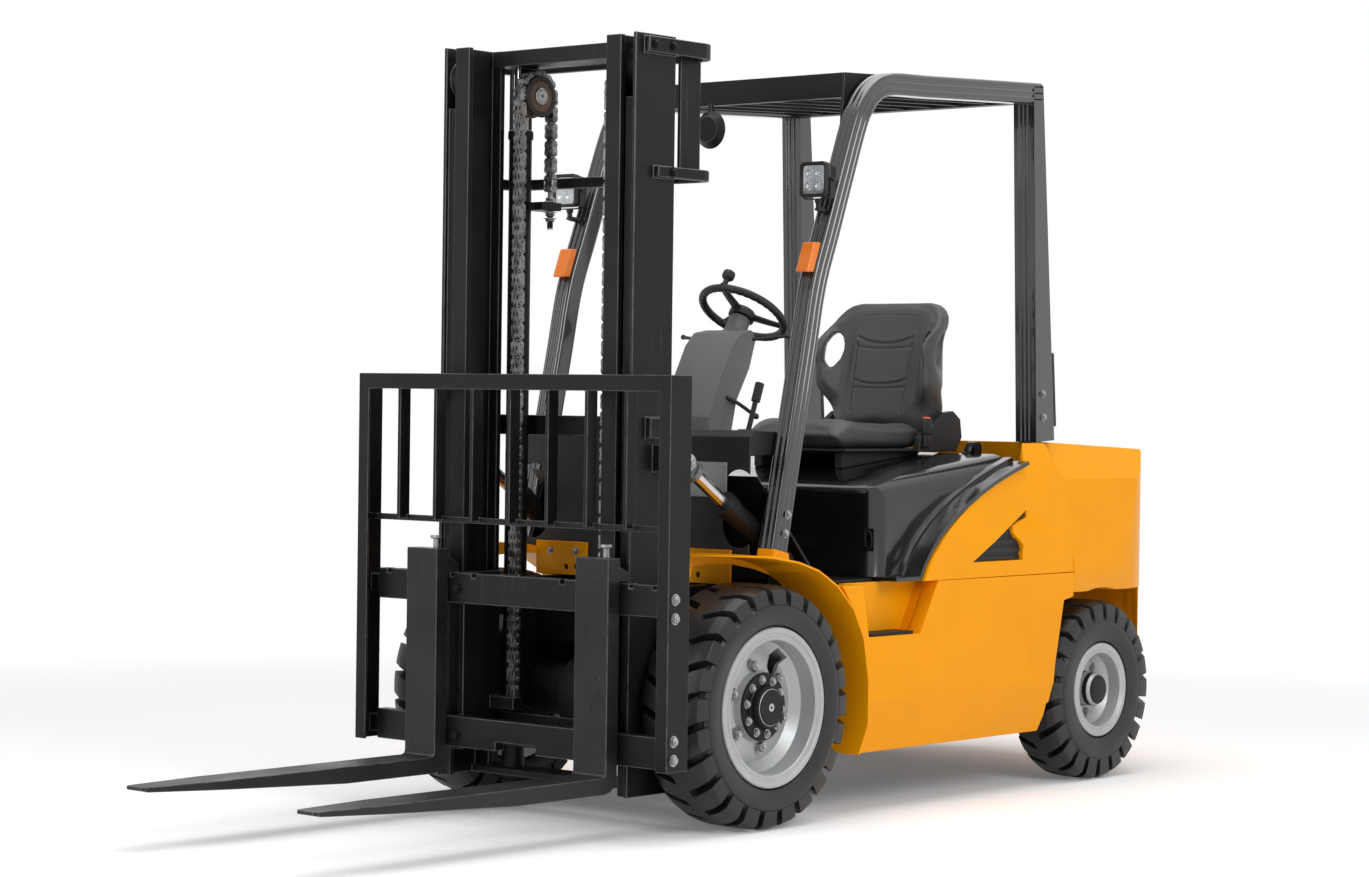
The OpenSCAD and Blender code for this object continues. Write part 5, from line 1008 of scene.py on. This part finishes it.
def padded(name, sections, node, plugs=()):
    """Remeshed, swollen by cloth pressure with each point's move capped, then smoothed."""
    made = put(name, grid_mesh(name, *stacked(sections)))
    cutters = [put("plug", grid_mesh("plug", *plug)) for plug in plugs]
    for cutter in cutters:
        cut = made.modifiers.new("opening", "BOOLEAN")
        cut.operation, cut.object = "DIFFERENCE", cutter
    even = made.modifiers.new("even", "REMESH")
    even.mode, even.voxel_size = "VOXEL", VOXEL
    applied(made)
    for cutter in cutters:
        bpy.data.objects.remove(cutter)
    start = coordinates(made.data)
    cloth = made.modifiers.new("cloth", "CLOTH")
    cloth.settings.use_pressure = True
    cloth.settings.uniform_pressure_force = PRESSURE
    cloth.settings.effector_weights.gravity = 0
    cloth.point_cache.frame_start, cloth.point_cache.frame_end = 1, CLOTH_FRAMES
    for step in range(1, CLOTH_FRAMES + 1):
        bpy.context.scene.frame_set(step)
    applied(made)
    bpy.context.scene.frame_set(1)
    moved = coordinates(made.data) - start
    far = np.linalg.norm(moved, axis=1, keepdims=True)
    held = start + moved * np.minimum(1, SWELL_LIMIT / np.maximum(far, 1e-9))
    made.data.vertices.foreach_set("co", held.astype(np.float32).ravel())
    print(name, "swelled by", round(float(np.minimum(far, SWELL_LIMIT).mean()) * 1000, 1), "mm on average")
    soft = made.modifiers.new("soft", "SMOOTH")
    soft.factor, soft.iterations = 0.5, 4
    applied(made)
    made.data.materials.clear()
    made.data.materials.append(FINISHES["seat_vinyl"])
    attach(made, frame["nodes"][node]["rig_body"])
    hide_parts(node)
    return made


seat_back = padded("seat_back_pad", back_sections(), "seat_back", [oval_plug(side) for side, _ in SIDES])
seat_cushion = padded("seat_cushion_pad", cushion_sections(), "seat_cushion")
print("pads:", len(seat_back.data.vertices), len(seat_cushion.data.vertices), "points")

# %% [markdown]
# Seams are narrow valleys with a soft puff on both sides. Each is a line across a pad's face. Points
# near it move in by a depth that falls off with their distance, so the pad is subdivided first.

# %% Seams
SEAM, PIPING = (0.0050, 0.0042), (0.0022, 0.0032)
PUFF, PUFF_REACH = 0.35, 3.2


def crease(made, axes, lines, facing):
    """Each point that faces the given way moves in by depth * exp(-(distance / width)^2) of each line.
    A line is (swapped, low, high, v(u), depth, width); u and v are the two axes, or the other way round."""
    fine = made.modifiers.new("fine", "SUBSURF")
    fine.levels = fine.render_levels = 1
    applied(made)
    mesh = made.data
    spots = coordinates(mesh)
    normals = np.empty(len(mesh.vertices) * 3, np.float32)
    mesh.vertices.foreach_get("normal", normals)
    normals = normals.reshape(-1, 3)
    toward = np.clip(normals @ np.asarray(facing, float) * 2.2 - 0.5, 0, 1)
    depth = np.zeros(len(spots))
    for swapped, low, high, curve, deep, width in lines:
        u, v = spots[:, axes[::-1] if swapped else axes].T
        off = np.hypot(v - curve(u), np.maximum(0, np.maximum(low - u, u - high)))
        depth += deep * np.exp(-(off / width) ** 2) - PUFF * deep * np.exp(-(off / (PUFF_REACH * width)) ** 2)
    spots -= normals * (depth * toward)[:, None]
    mesh.vertices.foreach_set("co", spots.astype(np.float32).ravel())
    mesh.shade_smooth()
    mesh.update()


def sag(middle, ends, half):
    """A seam that sags between its ends: v = middle + (ends - middle) * (u / half)^2."""
    return lambda u: middle + (ends - middle) * (u / half) ** 2


def bent(*places):
    """A seam through (u, v) places, straight between them."""
    return lambda u: np.interp(u, [p[0] for p in places], [p[1] for p in places])


back_seams = [
    (False, -0.112, 0.112, sag(1.427, 1.447, 0.11), 0.0065, 0.0042),
    (False, -0.110, 0.110, sag(1.409, 1.415, 0.11), 0.0040, 0.0040),
    (False, -0.108, 0.108, sag(1.292, 1.308, 0.11), 0.0065, 0.0042),
    (False, -0.104, 0.104, sag(1.278, 1.281, 0.10), 0.0045, 0.0040),
    (False, -0.100, 0.100, sag(1.522, 1.516, 0.10), *PIPING)]
cushion_seams = [(False, -1.225 + AXLE_X, -0.900 + AXLE_X, bent((-0.95, s * 0.125), (-0.50, s * 0.138)), *SEAM)
                 for s, _ in SIDES]
cushion_seams += [(True, -0.136, 0.136, sag(x + AXLE_X, x + 0.008 + AXLE_X, 0.13), *SEAM)
                  for x in (-1.225, -1.060, -0.895)]
for s, _ in SIDES:
    back_seams.append((True, 1.200, 1.425, bent((1.20, s * 0.102), (1.30, s * 0.110),
                                                (1.425, s * 0.114)), 0.0060, 0.0042))
    back_seams.append((True, 1.440, 1.516, bent((1.44, s * 0.104), (1.52, s * 0.098)), *PIPING))
crease(seat_back, [1, 2], back_seams, (1, 0, 0.15))
crease(seat_cushion, [0, 1], cushion_seams, (0, 0, 1))
print("seams:", len(back_seams), len(cushion_seams))

# %% [markdown]
# Small things make a truck look real: bolts where plates meet, gland nuts on the lift barrels, rubber
# boots and grips on the levers, a latch on the hood and blank plates. Turned profiles and short tubes
# give most of them, and all of them ride on the body that they are screwed to.

# %% Glands, boots and levers
GLAND = [(0.0335, -0.026), (0.0375, -0.026), (0.0382, -0.023), (0.0382, -0.005), (0.0365, -0.001), (0.0300, 0.003),
         (0.0224, 0.003), (0.0224, -0.001), (0.0335, -0.001)]
for side, word in SIDES:
    gland = turned(GLAND + GLAND[:1], at(0.190, side * 0.245, 2.0275), (0, 0, 1), 40)
    piece("lift_gland_" + word, *gland, "black_paint", "mast_outer", sharp=25)


def bellows(foot, axis, low_r, high_r, height, folds):
    """A rubber boot: radius = a straight taper + a wave of so many folds."""
    t = np.linspace(0, 1, folds * 8 + 1)
    wave = 0.14 * low_r * np.sin(2 * math.pi * folds * t)
    profile = np.stack([low_r + (high_r - low_r) * t + wave, height * t], -1)
    return turned(np.vstack([[0, 0], profile, [0, height]]), foot, axis, 24)


def stick(points, radius, knob):
    """A lever: a round bar through points with a drop-shaped grip at its end."""
    path = through(points, 8)
    reach = np.linspace(0, 1, 13)
    grip = np.stack([knob * np.sin(math.pi * reach) ** 0.7 * (0.75 + 0.25 * reach), (reach - 0.5) * knob * 2.6], -1)
    return joined([tube(path, radius, plane=cross_axes(path[-1] - path[0])[1]),
                   turned(grip, path[-1], path[-1] - path[-2], 20)])


boots = [bellows(at(-0.330, y, 1.1452), (-0.14, 0, 1), 0.020, 0.009, 0.040, 3) for y in (-0.150, -0.196, -0.242)]
piece("lever_boots", *joined(boots), "rubber_boot", "chassis", sharp=50, slot="cowl_plastic")
stalks = joined([
    stick([at(-0.500, 0.088, 1.420), at(-0.520, 0.130, 1.424), at(-0.547, 0.196, 1.432)], 0.0055, 0.0095),
    stick([at(-0.470, -0.088, 1.418), at(-0.485, -0.130, 1.422), at(-0.505, -0.190, 1.428)], 0.0055, 0.0095),
    stick([at(-0.378, 0.095, 1.240), at(-0.420, 0.108, 1.222), at(-0.499, 0.112, 1.184)], 0.0060, 0.0110)])
piece("column_stalks", *stalks, "rubber_boot", "chassis", sharp=40, slot="cowl_plastic")
print("glands: 2, boots:", len(boots), "stalks: 3")

# %% [markdown]
# Hex bolts with washers sit where plates meet: along the load backrest's ears, on the carriage, at the feet
# of the pillars and rear posts, below the cowl and on the mast's straps. A blank plate on the cowl, a belt
# buckle beside the seat and a latch on the hood finish the cab.

# %% Bolts, plates and latch
backrest_bolts = both_sides(lambda side: nuts([at(0.457, side * 0.6194, z) for z in (0.681, 0.628, 0.290, 0.238)],
                                              (0, side, 0), 0.012, 0.010))
piece("backrest_bolts", *backrest_bolts, "bolt_zinc", "carriage", sharp=20, slot="fork_steel")
carriage_bolts = nuts([at(0.4384, y, z) for y in (-0.240, 0.240) for z in (0.668, 0.236)], (1, 0, 0), 0.013, 0.011)
piece("carriage_bolts", *carriage_bolts, "black_paint", "carriage", sharp=20)

# feet of the pillars, then of the rear posts: along, height
FOOT_BOLTS = [(-0.1445, 0.845), (-0.1545, 0.900), (-1.470, 1.190), (-1.463, 1.265)]
chassis_bolts = both_sides(lambda side: joined([
    nuts([at(x, side * 0.5204, z) for x, z in FOOT_BOLTS], (0, side, 0), 0.0095, 0.009),
    nuts([at(-0.0535, side * y, 0.765) for y in (0.225, 0.330)], (1, 0, 0), 0.009, 0.008)]))
piece("chassis_bolts", *chassis_bolts, "bolt_zinc", "chassis", sharp=20, slot="black_paint")
STRAP_BOLTS = [(0.245, 2.235), (0.320, 2.235), (0.240, 1.877)]
mast_bolts = both_sides(lambda side: nuts([at(x, side * 0.4012, z) for x, z in STRAP_BOLTS],
                                          (0, side, 0), 0.011, 0.010))
piece("mast_bolts", *mast_bolts, "black_paint", "mast_outer", sharp=20)

plate_skin = rounded_box(at(-0.0598, 0.214, 0.947), at(-0.0572, 0.368, 1.050), 0.0011, 2)
piece("blank_plate", *plate_skin, "plate_alloy", "chassis", sharp=40, slot="wheel_silver")
RIVET = [(0, 0), (0.0045, 0), (0.0040, 0.0016), (0.0020, 0.0026), (0, 0.0028)]
rivets = joined([turned(RIVET, at(-0.0572, y, z), (1, 0, 0), 12) for y in (0.222, 0.360) for z in (0.954, 1.043)])
piece("plate_rivets", *rivets, "bolt_zinc", "chassis", sharp=40, slot="wheel_silver")

buckle = joined([rounded_box(at(-1.232, 0.2365, 1.086), at(-1.196, 0.2470, 1.140), 0.004, 3),
                 rounded_box(at(-1.236, 0.2330, 1.128), at(-1.190, 0.2505, 1.182), 0.006, 3)])
piece("belt_buckle", *buckle, "rubber_boot", "hood", sharp=45, slot="cowl_plastic")
button = rounded_box(at(-1.229, 0.2360, 1.1785), at(-1.197, 0.2475, 1.1860), 0.003, 3)
piece("belt_button", *button, "buckle_orange", "hood", sharp=45, slot="lamp_amber")

ring_turn = np.linspace(0, 2 * math.pi, 33)
latch_ring = np.stack([0 * ring_turn, 0.012 * np.cos(ring_turn), 0.027 * np.sin(ring_turn)], -1)
latch = joined([rounded_box(at(-0.6055, 0.460, 0.780), at(-0.6030, 0.496, 0.848), 0.001, 2),
                tube(at(-0.6015, 0.478, 0.812) + latch_ring, 0.0032, 10, plane=(1, 0, 0))])
piece("hood_latch", *latch, "black_paint", "hood", sharp=40)
print("bolts, plate, rivets, belt buckle and latch made")

# %% [markdown]
# The steering wheel has a moulded rim with finger grips on its underside, three dished spokes, a flat cap
# and a spinner knob over one spoke. The rim is a ring whose section swells in waves, and each spoke is a
# stack of ovals from the hub to the rim. It turns with the wheel's own body.

# %% Steering wheel
WHEEL = at(-0.567, 0, 1.505)
TILT = math.radians(33)
WHEEL_UP = np.array([-math.sin(TILT), 0, math.cos(TILT)])
RIM, RIM_THICK, KNOB_TURN = 0.135, 0.0128, math.radians(5)
GRIPS, GRIP_DEPTH, RIM_STEPS = 36, 0.0012, 288


def around_wheel(turn):
    """Unit vector from the wheel's middle towards its rim: cos(turn) * ahead + sin(turn) * left."""
    turn = np.asarray(turn, float)[..., None]
    return np.cos(turn) * np.array([math.cos(TILT), 0, math.sin(TILT)]) + np.sin(turn) * np.array([0, 1.0, 0])


def wheel_rim():
    """Ring: middle + (R + r cos v) * outward(u) + r sin v * up, with r waving by its grips below."""
    u, v = np.meshgrid(full_turn(RIM_STEPS), full_turn(16), indexing="ij")
    r = RIM_THICK - GRIP_DEPTH * (0.5 - 0.5 * np.cos(GRIPS * u)) * np.clip(-np.sin(v + 0.5), 0, 1)
    points = WHEEL + (RIM + r * np.cos(v))[..., None] * around_wheel(u) + (r * np.sin(v))[..., None] * WHEEL_UP
    return points, quads(RIM_STEPS, 16, close_rows=True, close_columns=True)


def spoke(turn):
    """Ovals from the hub to the rim: they narrow outwards and rise by the square of the way."""
    way = np.linspace(0, 1, 9)[:, None]
    t = full_turn(20)[None, :]
    across = (0.018 - 0.006 * way) * squared(np.cos(t), 0.6)
    lift = (0.0062 - 0.0012 * way) * squared(np.sin(t), 0.6)
    side = np.cross(WHEEL_UP, around_wheel(turn))
    rows = WHEEL + (0.030 + 0.103 * way)[..., None] * around_wheel(turn) + across[..., None] * side
    return stacked(rows + (lift - 0.004 + 0.004 * way ** 2)[..., None] * WHEEL_UP)


hub_cap = turned([(0, -0.0197), (0.0415, -0.0197), (0.0420, -0.016), (0.0420, -0.001), (0.0405, 0.004),
                  (0.0370, 0.0075), (0.0345, 0.0080), (0.0335, 0.0070), (0.0325, 0.0082), (0.0200, 0.0096),
                  (0, 0.0100)], WHEEL, WHEEL_UP, 48)
knob = turned([(0, 0.004), (0.0125, 0.006), (0.0130, 0.012), (0.0090, 0.016), (0.0082, 0.030), (0.0150, 0.034),
               (0.0192, 0.039), (0.0200, 0.044), (0.0198, 0.054), (0.0180, 0.0595), (0.0120, 0.0630), (0, 0.0640)],
              WHEEL + RIM * around_wheel(KNOB_TURN), WHEEL_UP, 32)
wheel_parts = joined([wheel_rim(), hub_cap, knob] + [spoke(KNOB_TURN + k * 2 * math.pi / 3) for k in range(3)])
piece("steering_wheel_grip", *wheel_parts, "rubber_boot", frame["nodes"]["steering_wheel"]["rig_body"], sharp=40,
      slot="cowl_plastic", stands_for="steering_wheel")
print("steering wheel made,", len(wheel_parts[1]), "faces")

# %% [markdown]
# Bright pins finish the working gear: a T-headed stop pin in the top of each fork, and a headed pin with a
# nut through each tilt rod's eye at the mast.

# %% Fork pins and tilt pins
STOP_PIN = [(0, 0.776), (0.0098, 0.776), (0.0098, 0.811), (0.0168, 0.812), (0.0180, 0.814), (0.0180, 0.819),
            (0.0165, 0.8215), (0, 0.8218)]
stop_pins = both_sides(lambda side: turned(STOP_PIN, at(0.430, side * 0.338, 0), (0, 0, 1), 28))
piece("fork_stop_pins", *stop_pins, "bolt_zinc", frame["nodes"]["forks"]["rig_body"], sharp=30, slot="fork_steel")
WASHER = [(0.0100, 0), (0.0240, 0), (0.0245, 0.0008), (0.0245, 0.0036), (0.0235, 0.0046),
          (0.0100, 0.0046), (0.0100, 0)]
tilt_pins = both_sides(lambda side: joined([
    turned(WASHER, TILT_EYE + [0, side * 0.4378, 0], (0, side, 0), 32),
    nuts([TILT_EYE + [0, side * 0.4422, 0]], (0, side, 0), 0.0125, 0.009)]))
piece("tilt_pin_heads", *tilt_pins, "bolt_zinc", frame["nodes"]["tilt_rods"]["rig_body"], sharp=25, slot="rod_chrome")
print("pins: 2 in the forks, 2 at the tilt rods")

# %% The json module
import json
